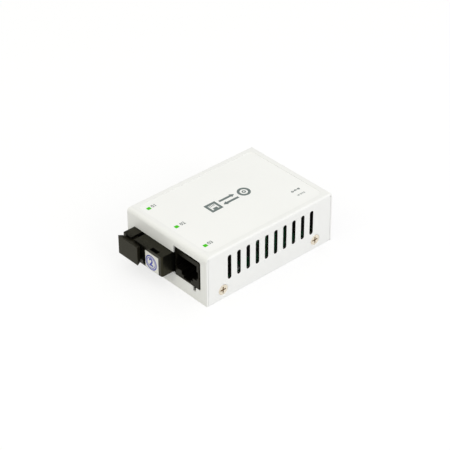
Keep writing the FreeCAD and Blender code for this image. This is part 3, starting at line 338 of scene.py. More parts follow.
def mouldedFinish(name, colour, rubbed, roughness, texture=0.01, scale=3600.0, sheen=(1.0, 1.0, 1.0),
                  gloss=0.32):
    # moulded plastic: spark-eroded texture, rubbed lighter at the edges
    material, tree, shader, place = newFinish(name, roughness)
    shader.inputs["Specular IOR Level"].default_value = gloss
    # the reflections' tint; on the black mouldings it is painted warm light
    shader.inputs["Specular Tint"].default_value = (*sheen, 1)
    grain = useGroup(tree, grainGroup, place, Grain_Scale=scale, Drift_Scale=110.0)
    edge = useGroup(tree, edgeGroup, place, Reach=0.16 * mm)
    tone = driftColour(tree, grain, scaled(colour, 0.82), colour)
    tree.links.new(mixColours(tree, edge["Mask"], tone, rubbed), shader.inputs["Base Color"])
    varyRoughness(tree, shader, grain["Speck"], roughness - 0.08, roughness + 0.08)
    addBump(tree, shader, grain["Height"], texture)
    return material


def metalFinish(name, colour, dull, roughness, stretch, depth=0.003):
    # plated or drawn metal: fine lines along the working direction and cloudy patches
    material, tree, shader, place = newFinish(name, roughness, 1.0)
    lines = useGroup(tree, brushGroup, place, Stretch=stretch)
    grain = useGroup(tree, grainGroup, place, Drift_Scale=300.0)
    tree.links.new(driftColour(tree, grain, dull, colour), shader.inputs["Base Color"])
    varyRoughness(tree, shader, lines["Sheen"], roughness - 0.07, roughness + 0.09)
    addBump(tree, shader, lines["Height"], depth)
    return material


def inkFinish(name, colour, roughness):
    # screen print: an even film of ink with a trace of mesh and pinholes
    material, tree, shader, place = newFinish(name, roughness)
    grain = useGroup(tree, grainGroup, place, Grain_Scale=5200.0, Drift_Scale=500.0, Speck_Scale=9000.0)
    thin = tuple(min(1.0, channel * 1.25 + 0.02) for channel in colour)
    tone = mixColours(tree, spread(tree, grain["Speck"], 0.0, 0.55), colour, thin)
    tree.links.new(tone, shader.inputs["Base Color"])
    varyRoughness(tree, shader, grain["Drift"], roughness - 0.05, roughness + 0.08)
    addBump(tree, shader, grain["Height"], 0.003)
    return material


def paperFinish(name, colour, shade, roughness):
    # coated paper: faint fibres and a soft sheen
    material, tree, shader, place = newFinish(name, roughness)
    grain = useGroup(tree, grainGroup, place, Grain_Scale=4200.0, Drift_Scale=700.0)
    fibres = useGroup(tree, brushGroup, place, Stretch=(1400.0, 1400.0, 6200.0))
    blend = mathNode(tree, "MULTIPLY", grain["Drift"], fibres["Height"])
    tone = mixColours(tree, mathNode(tree, "MULTIPLY", blend, 2.4, clamp=True), shade, colour)
    tree.links.new(tone, shader.inputs["Base Color"])
    varyRoughness(tree, shader, grain["Speck"], roughness - 0.05, roughness + 0.1)
    addBump(tree, shader, fibres["Height"], 0.004)
    return material


def guideFinish(name, colour, lit, glow, litFrom=1.2, litTo=0.2):
    # clear green moulding; only the tips in the roof's windows glow, a painted glow for the bright green they
    # show
    material, tree, shader, place = newFinish(name, 0.22)
    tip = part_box("light_guide")[1].z
    split = treeNode(tree, "ShaderNodeSeparateXYZ", [(place, 0)])
    near = treeNode(tree, "ShaderNodeMapRange", [
        (split.outputs["Z"], "Value"), (tip - litFrom * mm, "From Min"), (tip - litTo * mm, "From Max")])
    grain = useGroup(tree, grainGroup, place, Grain_Scale=1800.0, Drift_Scale=900.0)
    tree.links.new(driftColour(tree, grain, scaled(colour, 0.85), colour), shader.inputs["Base Color"])
    # painted glow on the tips
    tree.links.new(mixColours(tree, near.outputs["Result"], (0, 0, 0), lit), shader.inputs["Emission Color"])
    shader.inputs["Emission Strength"].default_value = glow
    shader.inputs["Coat Weight"].default_value = 0.1
    shader.inputs["Specular IOR Level"].default_value = 0.3
    addBump(tree, shader, grain["Height"], 0.004)
    return material


boardTracks = {
    "pitches": (0.9, 1.1),      # in mm, one for each way the tracks run
    "width": 0.34,              # as a share of the pitch
    "runScale": 110.0,
    "rowStep": 7.3,
    "gaps": 0.52,
    "depth": 0.03,
}


def trackMask(tree, split, along, across, pitch):
    # parallel tracks, each cut off at random lengths
    row = mathNode(tree, "DIVIDE", split[across], pitch * mm)
    offLine = mathNode(tree, "ABSOLUTE", mathNode(tree, "SUBTRACT", mathNode(tree, "FRACT", row), 0.5))
    line = mathNode(tree, "LESS_THAN", offLine, boardTracks["width"] / 2)
    run = treeNode(tree, "ShaderNodeCombineXYZ", [
        (mathNode(tree, "MULTIPLY", split[along], boardTracks["runScale"]), 0),
        (mathNode(tree, "MULTIPLY", mathNode(tree, "FLOOR", row), boardTracks["rowStep"]), 1)])
    stop = mathNode(tree, "GREATER_THAN", noiseNode(tree, run.outputs[0], 1.0, 0.0), boardTracks["gaps"])
    return mathNode(tree, "MULTIPLY", line, stop)


def boardFinish(name, mask, track, laminate):
    # solder mask over two sets of copper tracks, and a bare sawn edge
    material, tree, shader, place = newFinish(name, 0.33)
    grain = useGroup(tree, grainGroup, place, Grain_Scale=2600.0, Drift_Scale=80.0)
    split = treeNode(tree, "ShaderNodeSeparateXYZ", [(place, 0)]).outputs
    first, second = boardTracks["pitches"]
    tracks = mathNode(tree, "MAXIMUM", trackMask(tree, split, "X", "Y", first),
                      trackMask(tree, split, "Y", "X", second))
    face = mixColours(tree, tracks, driftColour(tree, grain, scaled(mask, 0.8), mask), track)
    geometry = treeNode(tree, "ShaderNodeNewGeometry")
    normal = treeNode(tree, "ShaderNodeSeparateXYZ", [(geometry.outputs["Normal"], 0)])
    flat = mathNode(tree, "GREATER_THAN", mathNode(tree, "ABSOLUTE", normal.outputs["Z"]), 0.5)
    tree.links.new(mixColours(tree, flat, laminate, face), shader.inputs["Base Color"])
    varyRoughness(tree, shader, grain["Speck"], 0.28, 0.4)
    raised = mathNode(tree, "ADD", tracks, mathNode(tree, "MULTIPLY", grain["Height"], 0.2))
    addBump(tree, shader, raised, boardTracks["depth"])
    return material


# painted light: the black mouldings' reflections are tinted warm, standing in for the warm light they reflect
oliveSheen = (1.0, 0.93, 0.5)     # the warm cast on the black mouldings
finishes = {
    "cover_coat": coatFinish("whitePowderCoat", (0.895, 0.897, 0.88), (0.875, 0.878, 0.86), 0.42),
    "tray_coat": coatFinish("trayPowderCoat", (0.885, 0.887, 0.87), (0.865, 0.868, 0.85), 0.45),
    "film_white": coatFinish("whiteFilm", (0.93, 0.932, 0.915), (0.915, 0.918, 0.90), 0.4),
    "case_screw_metal": metalFinish("warmNickel", (0.86, 0.79, 0.66), (0.73, 0.65, 0.52), 0.24,
                                    (9000.0, 900.0, 900.0)),
    "standoff_metal": metalFinish("zincStandoff", (0.72, 0.72, 0.73), (0.58, 0.58, 0.6), 0.34,
                                  (900.0, 900.0, 9000.0)),
    "board_screw_metal": metalFinish("zincScrew", (0.78, 0.78, 0.79), (0.64, 0.64, 0.66), 0.28,
                                     (900.0, 900.0, 9000.0)),
    "board_green": boardFinish("greenSolderMask", (0.012, 0.13, 0.05), (0.03, 0.24, 0.09), (0.16, 0.2, 0.08)),
    "jack_plastic": mouldedFinish("jackBlack", (0.004, 0.0037, 0.003), (0.03, 0.029, 0.024), 0.33,
                                  sheen=oliveSheen, gloss=0.16),
    "contact_gold": metalFinish("contactGold", (0.88, 0.68, 0.32), (0.8, 0.58, 0.25), 0.2,
                                (9000.0, 500.0, 9000.0), 0.001),
    "block_plastic": mouldedFinish("transceiverBlack", (0.005, 0.005, 0.0043), (0.035, 0.034, 0.03), 0.3,
                                   sheen=oliveSheen),
    "tinned_metal": metalFinish("tinnedCopper", (0.8, 0.8, 0.8), (0.66, 0.66, 0.66), 0.3,
                                (2500.0, 2500.0, 900.0), 0.002),
    "barrel_metal": metalFinish("turnedSteel", (0.66, 0.66, 0.67), (0.52, 0.52, 0.54), 0.26,
                                (700.0, 12000.0, 700.0)),
    "ceramic_white": mouldedFinish("polishedCeramic", (0.88, 0.87, 0.83), (0.9, 0.89, 0.86), 0.2, 0.002),
    "clip_plastic": mouldedFinish("clipBlack", (0.06, 0.06, 0.056), (0.11, 0.11, 0.1), 0.45),
    "label_paper": paperFinish("labelPaper", (0.84, 0.835, 0.79), (0.78, 0.775, 0.73), 0.5),
    "cap_plastic": mouldedFinish("capBlack", (0.007, 0.0062, 0.004), (0.036, 0.033, 0.024), 0.5, 0.016, 2800.0,
                                oliveSheen),
    "socket_plastic": mouldedFinish("socketBlack", (0.022, 0.022, 0.022), (0.05, 0.05, 0.05), 0.4),
    "socket_metal": metalFinish("socketNickel", (0.84, 0.84, 0.84), (0.74, 0.74, 0.74), 0.16,
                                (900.0, 9000.0, 900.0), 0.001),
    "lamp_body": mouldedFinish("lampResin", (0.85, 0.82, 0.7), (0.88, 0.86, 0.78), 0.25, 0.002),
    "guide_green": guideFinish("clearGreenGuide", (0.006, 0.05, 0.002), (0.072, 0.6, 0.002), 0.85),
    "chip_plastic": mouldedFinish("epoxyBlack", (0.022, 0.022, 0.025), (0.06, 0.06, 0.064), 0.5, 0.012),
    "crystal_metal": metalFinish("drawnNickelCan", (0.78, 0.77, 0.74), (0.66, 0.65, 0.63), 0.28,
                                 (6000.0, 600.0, 6000.0)),
    "can_metal": metalFinish("drawnAluminium", (0.82, 0.82, 0.83), (0.7, 0.7, 0.72), 0.3,
                             (900.0, 900.0, 7000.0)),
    "ferrite_grey": mouldedFinish("ferrite", (0.1, 0.1, 0.105), (0.2, 0.2, 0.2), 0.6, 0.02),
    "capacitor_tan": mouldedFinish("firedCeramic", (0.42, 0.29, 0.16), (0.5, 0.38, 0.24), 0.45, 0.004),
    "resistor_black": mouldedFinish("glazedFilm", (0.025, 0.025, 0.028), (0.06, 0.06, 0.06), 0.3, 0.004),
}
# painted shade for the screw heads' cross recess and the cone under them
paintedRecessShade = metalFinish("paintedRecessShade", (0.66, 0.48, 0.24), (0.46, 0.32, 0.14), 0.45, (900.0, 900.0, 900.0))
# a near-black finish for the vents' cut edges
darkVentEdge = mouldedFinish("blackVentEdges", (0.02, 0.016, 0.013), (0.06, 0.05, 0.04), 0.5, 0.004)
signInk = inkFinish("greyInk", (0.15, 0.185, 0.18), 0.45)
ringInk = inkFinish("blueInk", (0.012, 0.025, 0.4), 0.4)
solder = metalFinish("solder", (0.82, 0.82, 0.83), (0.68, 0.68, 0.7), 0.2, (500.0, 500.0, 500.0), 0.004)
print("finishes made")

# meshes


def linkMesh(name, mesh):
    item = bpy.data.objects.new(name, mesh)
    scene.collection.objects.link(item)
    return item


def bodyOf(node):
    return frame["nodes"][node]["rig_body"]


def finished(item):
    # the modifiers' result as a plain mesh on the same object
    graph = bpy.context.evaluated_depsgraph_get()
    mesh = bpy.data.meshes.new_from_object(item.evaluated_get(graph))
    item.modifiers.clear()
    item.data = mesh
    return item


# millimetres and degrees
edging = {"weld": 0.0005, "flat": 0.2, "corner": 28.0, "segments": 2, "flatWeight": 100}


def weldedMesh(node):
    # the node's loose triangles joined, and its flat faces made whole where they can be
    mesh = frame["nodes"][node].data.copy()
    work = bmesh.new()
    work.from_mesh(mesh)
    bmesh.ops.remove_doubles(work, verts=work.verts, dist=edging["weld"] * mm)
    bmesh.ops.dissolve_limit(work, angle_limit=math.radians(edging["flat"]), verts=work.verts, edges=work.edges)
    bmesh.ops.connect_verts_concave(work, faces=work.faces)     # a flat round an opening, in convex parts
    work.to_mesh(mesh)
    work.free()
    return mesh


# in mm: where the second finishes go, by level and by depth below each side, and the film's outline;
# across is the most that a punched edge's normal leans sideways
ventRow = {"low": 8.3, "high": 20.5, "ends": 8.0, "shallow": 0.05, "deep": 0.95, "across": 0.2}
recess = {"shallow": 0.02, "deep": 1.3}
filmEdge = {"corner": 2.9, "growth": 0.1}


def depthBelow(face, low, high):
    return min(face.center.x - low.x, high.x - face.center.x)


def markVents(item):
    # the vents' cut edges get a near-black finish, so the slots look dark
    low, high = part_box("top_cover")
    item.data.materials.append(darkVentEdge)
    for face in item.data.polygons:
        inSheet = ventRow["shallow"] * mm < depthBelow(face, low, high) < ventRow["deep"] * mm
        inRow = ventRow["low"] * mm < face.center.z < ventRow["high"] * mm
        inReach = low.y + ventRow["ends"] * mm < face.center.y < high.y - ventRow["ends"] * mm
        if inSheet and inRow and inReach and abs(face.normal.x) < ventRow["across"]:
            face.material_index = 1


def markRecesses(item):
    # painted shade: the cross recess and the cone under the head are coloured dark, for the shade that falls in
    # them
    low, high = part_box("case_screws")
    item.data.materials.append(paintedRecessShade)
    for face in item.data.polygons:
        if recess["shallow"] * mm < depthBelow(face, low, high) < recess["deep"] * mm:
            face.material_index = 1


def spreadFilm(item):
    # the film's soft edge lies against the panel's wall, so its outline grows into the fitting gap
    low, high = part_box("label_film")
    corner, growth = filmEdge["corner"] * mm, filmEdge["growth"] * mm
    for vertex in item.data.vertices:
        if low.x + corner < vertex.co.x < high.x - corner:
            continue                     # a window's corner, which stays
        for axis in (0, 1):
            if vertex.co[axis] < low[axis] + corner:
                vertex.co[axis] -= growth
            elif vertex.co[axis] > high[axis] - corner:
                vertex.co[axis] += growth


# what is done to a node's own faces before its corners are eased
extras = {"top_cover": markVents, "case_screws": markRecesses, "label_film": spreadFilm}


def dressNode(node, piece, slot, radius):
    # a node's own shape with its corners eased and its curves smooth
    item = linkMesh(piece, weldedMesh(node))
    item.data.materials.clear()
    item.data.materials.append(finishes[slot])
    for face in item.data.polygons:
        face.use_smooth = True
        face.material_index = 0
    if node in extras:
        extras[node](item)
    bevel = item.modifiers.new("edges", "BEVEL")
    bevel.width = radius * mm
    bevel.segments = edging["segments"]
    bevel.limit_method = "ANGLE"
    bevel.angle_limit = math.radians(edging["corner"])
    bevel.use_clamp_overlap = True
    bevel.harden_normals = True
    bevel.miter_outer = "MITER_ARC"
    normals = item.modifiers.new("normals", "WEIGHTED_NORMAL")     # flats stay flat beside eased corners
    normals.weight = edging["flatWeight"]
    finished(item)
    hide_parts(node)
    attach(item, bodyOf(node))
    return item


# node: piece, edge radius in mm
dressed = {
    "top_cover": ("coverShell", 0.04),
    "base_tray": ("traySheet", 0.04),
    "label_film": ("roofFilm", 0.03),
    "transceiver_housing": ("transceiverBlock", 0.07),
    "jack_housing": ("jackBlock", 0.05),
    "dust_cap": ("dustCapBody", 0.08),
    "transceiver_label": ("ringLabel", 0.02),
    "socket_housing": ("powerSocketBody", 0.07),
    "case_screws": ("caseScrewHeads", 0.06),
    "light_guide": ("lightGuideRods", 0.08),
    "port_latch_clip": ("latchClip", 0.06),
    "optical_barrel": ("opticalBarrel", 0.05),
    "socket_pin": ("socketPin", 0.06),
    "board_screws": ("boardScrewHeads", 0.06),
    "electrolytic_capacitors": ("capacitorCans", 0.06),
    "crystal": ("crystalCan", 0.08),
    "power_inductor": ("inductorCore", 0.1),
    "network_transformer": ("transformerBlock", 0.12),
}

slotOf = {row["node"]: row["material_slot"] for row in frame["record"]["subparts"]}
for node, (piece, radius) in dressed.items():
    dressNode(node, piece, slotOf[node], radius)
for node, item in frame["nodes"].items():
    if node not in dressed:
        item.data.materials.clear()
        item.data.materials.append(finishes[slotOf[node]])
print("nodes dressed:", len(dressed))

# prints

inkWeld = 0.001                         # in mm


def addOutline(work, points, low, high):
    # a flat closed outline with thickness; points anticlockwise
    bottom = [work.verts.new((x, y, low)) for x, y in points]
    top = [work.verts.new((x, y, high)) for x, y in points]
    work.faces.new(top)
    work.faces.new(bottom[::-1])
    for i in range(len(points)):
        j = (i + 1) % len(points)
        work.faces.new((bottom[i], bottom[j], top[j], top[i]))


def addRing(work, centre, outer, inner, low, high, start=0.0, end=2 * math.pi, steps=48):
    # a flat ring or part of one
    whole = abs(end - start - 2 * math.pi) < 1e-6
    count = steps if whole else steps + 1
    rows = []
    for i in range(count):
        angle = start + (end - start) * i / steps
        direction = Vector((math.cos(angle), math.sin(angle)))
        rows.append([work.verts.new((centre[0] + direction.x * reach, centre[1] + direction.y * reach, level))
                     for reach, level in ((inner, low), (outer, low), (outer, high), (inner, high))])
    for i in range(steps):
        a, b = rows[i], rows[(i + 1) % count]
        for k in range(4):
            work.faces.new((a[k], b[k], b[(k + 1) % 4], a[(k + 1) % 4]))
    if not whole:
        work.faces.new(rows[0])
        work.faces.new(rows[-1][::-1])


def addNumeral(work, text, size, matrix, thickness, weight=0.0):
    # plain figures, made a mesh before they are placed
    curve = bpy.data.curves.new("numeral", "FONT")
    curve.body = text
    curve.size = size
    curve.align_x = "CENTER"
    curve.align_y = "CENTER"
    curve.offset = weight
    curve.extrude = thickness / 2
    curve.resolution_u = 6
    item = bpy.data.objects.new("numeral", curve)
    scene.collection.objects.link(item)
    graph = bpy.context.evaluated_depsgraph_get()
    graph.update()
    mesh = bpy.data.meshes.new_from_object(item.evaluated_get(graph))
    mesh.transform(matrix)
    work.from_mesh(mesh)
    bpy.data.objects.remove(item)
    bpy.data.curves.remove(curve)
    bpy.data.meshes.remove(mesh)


def printPiece(name, work, ink, body):
    bmesh.ops.remove_doubles(work, verts=work.verts, dist=inkWeld * mm)
    bmesh.ops.recalc_face_normals(work, faces=work.faces)
    mesh = bpy.data.meshes.new(name)
    work.to_mesh(mesh)
    work.free()
    mesh.materials.append(ink)
    item = linkMesh(name, mesh)
    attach(item, body)
    return item


# the roof's prints, in mm; they read along +Y, with their tops towards -X
roofInk = {"thickness": 0.02, "sunk": 0.005}
twoWaySign = {
    "centre": (-1.0, 4.4),
    "length": 23.0,
    "height": 6.0,
    "stroke": 1.2,
    "latch": 2.2,                       # width of the square socket's latch
    "contacts": (-1.2, -0.4, 0.4, 1.2),
    "contactWidth": 0.32,
    "contactEnd": 2.1,                  # in strokes below the square's top
    "arrowReach": 4.2,
    "arrowHead": 2.0,
    "arrowHalf": 1.25,
    "arrowLine": 1.45,
    "eye": (0.95, 0.4),                 # outer and inner radius of the round port's middle
}
numerals = {
    "places": [("01", -18.4, -21.9), ("02", -0.5, -21.5), ("03", 17.15, -22.0)],
    "size": 2.5,
    "weight": 0.05,
}
polaritySign = {
    "centre": (12.85, 29.7),
    "pitch": 1.75,
    "radius": 0.62,
    "stroke": 0.26,
    "arm": 0.3,
    "sleeveGap": 0.45,                  # half of the sleeve's opening, in radians
    "dot": (0.24, 0.06),
    "directCentre": (16.4, 29.6),
    "directHalf": 2.1,
    "directLine": (0.15, 0.4),
    "dashes": (-1.575, 0.0, 1.575),
    "dashHalf": 0.525,
}


def roofPoint(centre, along, up):
    return (centre[0] - up) * mm, (centre[1] + along) * mm


def addBar(work, centre, left, low, right, high, levels):
    corners = [(left, low), (right, low), (right, high), (left, high)]
    addOutline(work, [roofPoint(centre, *corner) for corner in corners], *levels)


def makeRoofSign(levels):
    # square socket, opposed arrows, round port
    work = bmesh.new()
    sign = twoWaySign
    centre, stroke = sign["centre"], sign["stroke"]
    end, top = sign["length"] / 2, sign["height"] / 2
    middle = top - end
    corner = math.sqrt(2) * mm            # a ring of four steps is a square frame
    addRing(work, roofPoint(centre, middle, 0), top * corner, (top - stroke) * corner, *levels,
            start=math.pi / 4, end=2.25 * math.pi, steps=4)
    latch = sign["latch"] / 2
    addBar(work, centre, middle - latch, -top + stroke, middle + latch, -top + stroke * 2, levels)
    half = sign["contactWidth"] / 2
    for offset in sign["contacts"]:
        addBar(work, centre, middle + offset - half, top - stroke * sign["contactEnd"],
               middle + offset + half, top - stroke, levels)
    for way in (1, -1):
        tip, line, neck = (sign[key] * way for key in ("arrowReach", "arrowLine", "arrowHead"))
        shaft = sorted((-tip, tip - neck))
        addBar(work, centre, shaft[0], line - stroke / 2, shaft[1], line + stroke / 2, levels)
        head = [(tip - neck, line - sign["arrowHalf"]), (tip, line), (tip - neck, line + sign["arrowHalf"])]
        addOutline(work, [roofPoint(centre, *point) for point in head[::way]], *levels)
    portCentre = roofPoint(centre, end - top, 0)
    addRing(work, portCentre, top * mm, (top - stroke) * mm, *levels)
    addRing(work, portCentre, sign["eye"][0] * mm, sign["eye"][1] * mm, *levels, steps=32)
    printPiece("roofSign", work, signInk, bodyOf("label_film"))


def makeWindowNumerals(levels):
    work = bmesh.new()
    thickness = levels[1] - levels[0]
    for text, x, y in numerals["places"]:
        matrix = Matrix.Translation((x * mm, y * mm, sum(levels) / 2)) @ Matrix.Rotation(math.pi / 2, 4, "Z")
        addNumeral(work, text, numerals["size"] * mm, matrix, thickness, numerals["weight"] * mm)
    printPiece("windowNumerals", work, signInk, bodyOf("label_film"))


def makePolaritySign(levels):
    # minus, sleeve and dot, plus, and the direct-current strokes beside them
    work = bmesh.new()
    sign = polaritySign
    centre, pitch, radius, stroke, arm = (sign[key] for key in ("centre", "pitch", "radius", "stroke", "arm"))
    for along in (-pitch, pitch):
        addRing(work, roofPoint(centre, along, 0), radius * mm, (radius - stroke) * mm, *levels, steps=28)
        addBar(work, centre, along - arm, -stroke / 2, along + arm, stroke / 2, levels)
    addBar(work, centre, pitch - stroke / 2, -arm, pitch + stroke / 2, -stroke / 2, levels)
    addBar(work, centre, pitch - stroke / 2, stroke / 2, pitch + stroke / 2, arm, levels)
    sleeve, gap = roofPoint(centre, 0, 0), sign["sleeveGap"]
    addRing(work, sleeve, radius * mm, (radius - stroke) * mm, *levels,
            start=gap, end=2 * math.pi - gap, steps=28)
    outer, inner = sign["dot"]
    addRing(work, sleeve, outer * mm, inner * mm, *levels, steps=20)
    addBar(work, centre, -pitch + radius, -stroke / 2, -radius, stroke / 2, levels)
    addBar(work, centre, outer, -stroke / 2, pitch - radius, stroke / 2, levels)
    direct, half, dash = sign["directCentre"], sign["directHalf"], sign["dashHalf"]
    low, high = sign["directLine"]
    addBar(work, direct, -half, low, half, high, levels)
    for along in sign["dashes"]:
        addBar(work, direct, along - dash, -high, along + dash, -low, levels)
    printPiece("polaritySign", work, signInk, bodyOf("label_film"))


# two rings and a figure, in mm; the offsets are from the label's centre
labelPrint = {
    "outer": 3.5,
    "outerWidth": 0.5,
    "inner": 2.65,
    "innerWidth": 0.28,
    "figure": 5.0,
    "figureWeight": 0.16,
    "thickness": 0.02,
    "proud": 0.002,
    "across": -0.4,
    "up": -0.4,
}


def makeLabelRing():
    # on the -Y face of the blank half's label
    low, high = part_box("transceiver_label")
    middle, thickness = (low + high) / 2, labelPrint["thickness"] * mm
    work = bmesh.new()
    for name in ("outer", "inner"):
        reach, width = labelPrint[name], labelPrint[name + "Width"]
        addRing(work, (0, 0), reach * mm, (reach - width) * mm, 0, thickness, steps=64)
    addNumeral(work, "2", labelPrint["figure"] * mm, Matrix.Translation((0, 0, thickness / 2)), thickness,
               labelPrint["figureWeight"] * mm)
    spot = (middle.x + labelPrint["across"] * mm, low.y - labelPrint["proud"] * mm,
            middle.z + labelPrint["up"] * mm)
    place = Matrix.Translation(spot) @ Matrix.Rotation(math.pi / 2, 4, "X")
    bmesh.ops.transform(work, matrix=place, verts=work.verts)
    printPiece("labelRing", work, ringInk, bodyOf("transceiver_label"))


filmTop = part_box("label_film")[1].z
printLevels = (filmTop - roofInk["sunk"] * mm, filmTop + roofInk["thickness"] * mm)
makeRoofSign(printLevels)
makeWindowNumerals(printLevels)
makePolaritySign(printLevels)
makeLabelRing()
print("prints made")

# repeated fittings, each from one node tree


def fittingTree(name, inputs):
    # a modifier's tree from geometry to geometry, with one material for all it makes
    inputs = [("Geometry", "Geometry", None), *inputs, ("Material", "Material", None)]
    tree, starts, ends = newTree(name, "GeometryNodeTree", inputs, [("Geometry", "Geometry")])
    tree.is_modifier = True
    return tree, starts, ends


def scatter(tree, inputs, outputs, shape, smooth):
    # one copy of shape at each point, turned to the point's axis, in one finish
    axis = treeNode(tree, "GeometryNodeInputNamedAttribute", [("axis", "Name")], data_type="FLOAT_VECTOR")
    turned = treeNode(tree, "FunctionNodeAlignRotationToVector", [(axis.outputs[0], "Vector")], axis="Z")
    copies = treeNode(tree, "GeometryNodeInstanceOnPoints",
                      [(inputs["Geometry"], "Points"), (shape, "Instance"), (turned.outputs[0], "Rotation")])
    real = treeNode(tree, "GeometryNodeRealizeInstances", [(copies.outputs[0], "Geometry")])
    eased = treeNode(tree, "GeometryNodeSetShadeSmooth",
                     [(real.outputs[0], "Geometry"), (smooth, "Shade Smooth")])
    painted = treeNode(tree, "GeometryNodeSetMaterial",
                       [(eased.outputs[0], "Geometry"), (inputs["Material"], "Material")])
    tree.links.new(painted.outputs[0], outputs["Geometry"])


def makeFilletTree():
    # a solder fillet: a low cone with a concave flank
    tree, inputs, outputs = fittingTree("solderFillet", [
        ("Foot Radius", "Float", 0.0007), ("Tip Radius", "Float", 0.0003), ("Height", "Float", 0.0007),
        ("Hollow", "Float", 0.9)])
    cone = treeNode(tree, "GeometryNodeMeshCone", [
        (20, "Vertices"), (4, "Side Segments"), (inputs["Tip Radius"], "Radius Top"),
        (inputs["Foot Radius"], "Radius Bottom"), (inputs["Height"], "Depth")])
    spot = treeNode(tree, "GeometryNodeInputPosition")
    split = treeNode(tree, "ShaderNodeSeparateXYZ", [(spot.outputs[0], "Vector")])
    level = mathNode(tree, "DIVIDE", split.outputs["Z"], inputs["Height"])
    bow = mathNode(tree, "MULTIPLY", level, mathNode(tree, "SUBTRACT", 1.0, level))
    inward = mathNode(tree, "SUBTRACT", 1.0, mathNode(tree, "MULTIPLY", bow, inputs["Hollow"]))
    waist = treeNode(tree, "ShaderNodeCombineXYZ", [(inward, "X"), (inward, "Y"), (1.0, "Z")])
    drawn = treeNode(tree, "ShaderNodeVectorMath", [(spot.outputs[0], 0), (waist.outputs[0], 1)],
                     operation="MULTIPLY")
    fillet = treeNode(tree, "GeometryNodeSetPosition",
                      [(cone.outputs[0], "Geometry"), (drawn.outputs[0], "Position")])
    scatter(tree, inputs, outputs, fillet.outputs[0], True)
    return tree


def makeThreadTree():
    # a screw's thread: a three-sided wire along a helix, sunk so that only its crest stands out
    tree, inputs, outputs = fittingTree("threadHelix", [
        ("Radius", "Float", 0.0014), ("Pitch", "Float", 0.0005), ("Length", "Float", 0.003),
        ("Ridge", "Float", 0.00016)])
    turns = mathNode(tree, "DIVIDE", inputs["Length"], inputs["Pitch"])
    helix = treeNode(tree, "GeometryNodeCurveSpiral", [
        (20, "Resolution"), (turns, "Rotations"), (inputs["Radius"], "Start Radius"),
        (inputs["Radius"], "End Radius"), (inputs["Length"], "Height")])
    ridge = treeNode(tree, "GeometryNodeCurvePrimitiveCircle", [(3, "Resolution"), (inputs["Ridge"], "Radius")])
    wire = treeNode(tree, "GeometryNodeCurveToMesh", [
        (helix.outputs[0], "Curve"), (ridge.outputs[0], "Profile Curve"), (True, "Fill Caps")])
    scatter(tree, inputs, outputs, wire.outputs[0], False)
    return tree


def makeLeadTree():
    # a gull-wing lead that leaves along the point's axis: shoulder, slanted leg and foot as one bent strip
    tree, inputs, outputs = fittingTree("chipLead", [
        ("Reach", "Float", 0.001), ("Shoulder", "Float", 0.0005), ("Width", "Float", 0.00022),
        ("Gauge", "Float", 0.00013), ("Knee", "Float", 0.3), ("Ankle", "Float", 0.5)])
    knee = mathNode(tree, "MULTIPLY", inputs["Reach"], inputs["Knee"])
    ankle = mathNode(tree, "MULTIPLY", inputs["Reach"], inputs["Ankle"])
    points = [(0.0, 0.0), (knee, 0.0), (ankle, inputs["Shoulder"]), (inputs["Reach"], inputs["Shoulder"])]
    runs = treeNode(tree, "GeometryNodeJoinGeometry")
    ends = [treeNode(tree, "ShaderNodeCombineXYZ", [(along, "Z"), (down, "X")]).outputs[0]
            for along, down in points]
    for a, b in zip(ends, ends[1:]):
        line = treeNode(tree, "GeometryNodeCurvePrimitiveLine", [(a, "Start"), (b, "End")])
        section = treeNode(tree, "GeometryNodeCurvePrimitiveQuadrilateral",
                           [(inputs["Gauge"], "Width"), (inputs["Width"], "Height")])
        strip = treeNode(tree, "GeometryNodeCurveToMesh", [
            (line.outputs[0], "Curve"), (section.outputs[0], "Profile Curve"), (True, "Fill Caps")])
        tree.links.new(strip.outputs[0], runs.inputs[0])
    scatter(tree, inputs, outputs, runs.outputs[0], False)
    return tree


def makeCapTree():
    # a small block at each point, for end caps
    tree, inputs, outputs = fittingTree("endBlock", [("Size", "Vector", (0.0004, 0.0008, 0.0006))])
    block = treeNode(tree, "GeometryNodeMeshCube", [(inputs["Size"], "Size")])
    scatter(tree, inputs, outputs, block.outputs[0], False)
    return tree


def makeViaTree():
    # plated holes scattered over the board's top at a fixed seed, kept apart
    tree, inputs, outputs = fittingTree("boardVias", [
        ("Radius", "Float", 0.00025), ("Spacing", "Float", 0.0028), ("Density", "Float", 90000.0),
        ("Plating", "Float", 0.5), ("Thickness", "Float", 0.00004), ("Seed", "Int", 11)])
    spots = treeNode(tree, "GeometryNodeDistributePointsOnFaces", [
        (inputs["Geometry"], "Mesh"), (inputs["Spacing"], "Distance Min"), (inputs["Density"], "Density Max"),
        (inputs["Seed"], "Seed")], distribute_method="POISSON")
    width = mathNode(tree, "MULTIPLY", inputs["Radius"], inputs["Plating"])
    rim = treeNode(tree, "GeometryNodeCurvePrimitiveCircle", [(14, "Resolution"), (inputs["Radius"], "Radius")])
    wall = treeNode(tree, "GeometryNodeCurvePrimitiveQuadrilateral",
                    [(width, "Width"), (inputs["Thickness"], "Height")])
    ring = treeNode(tree, "GeometryNodeCurveToMesh", [
        (rim.outputs[0], "Curve"), (wall.outputs[0], "Profile Curve")])
    copies = treeNode(tree, "GeometryNodeInstanceOnPoints",
                      [(spots.outputs[0], "Points"), (ring.outputs[0], "Instance")])
    real = treeNode(tree, "GeometryNodeRealizeInstances", [(copies.outputs[0], "Geometry")])
    painted = treeNode(tree, "GeometryNodeSetMaterial",
                       [(real.outputs[0], "Geometry"), (inputs["Material"], "Material")])
    tree.links.new(painted.outputs[0], outputs["Geometry"])
    return tree


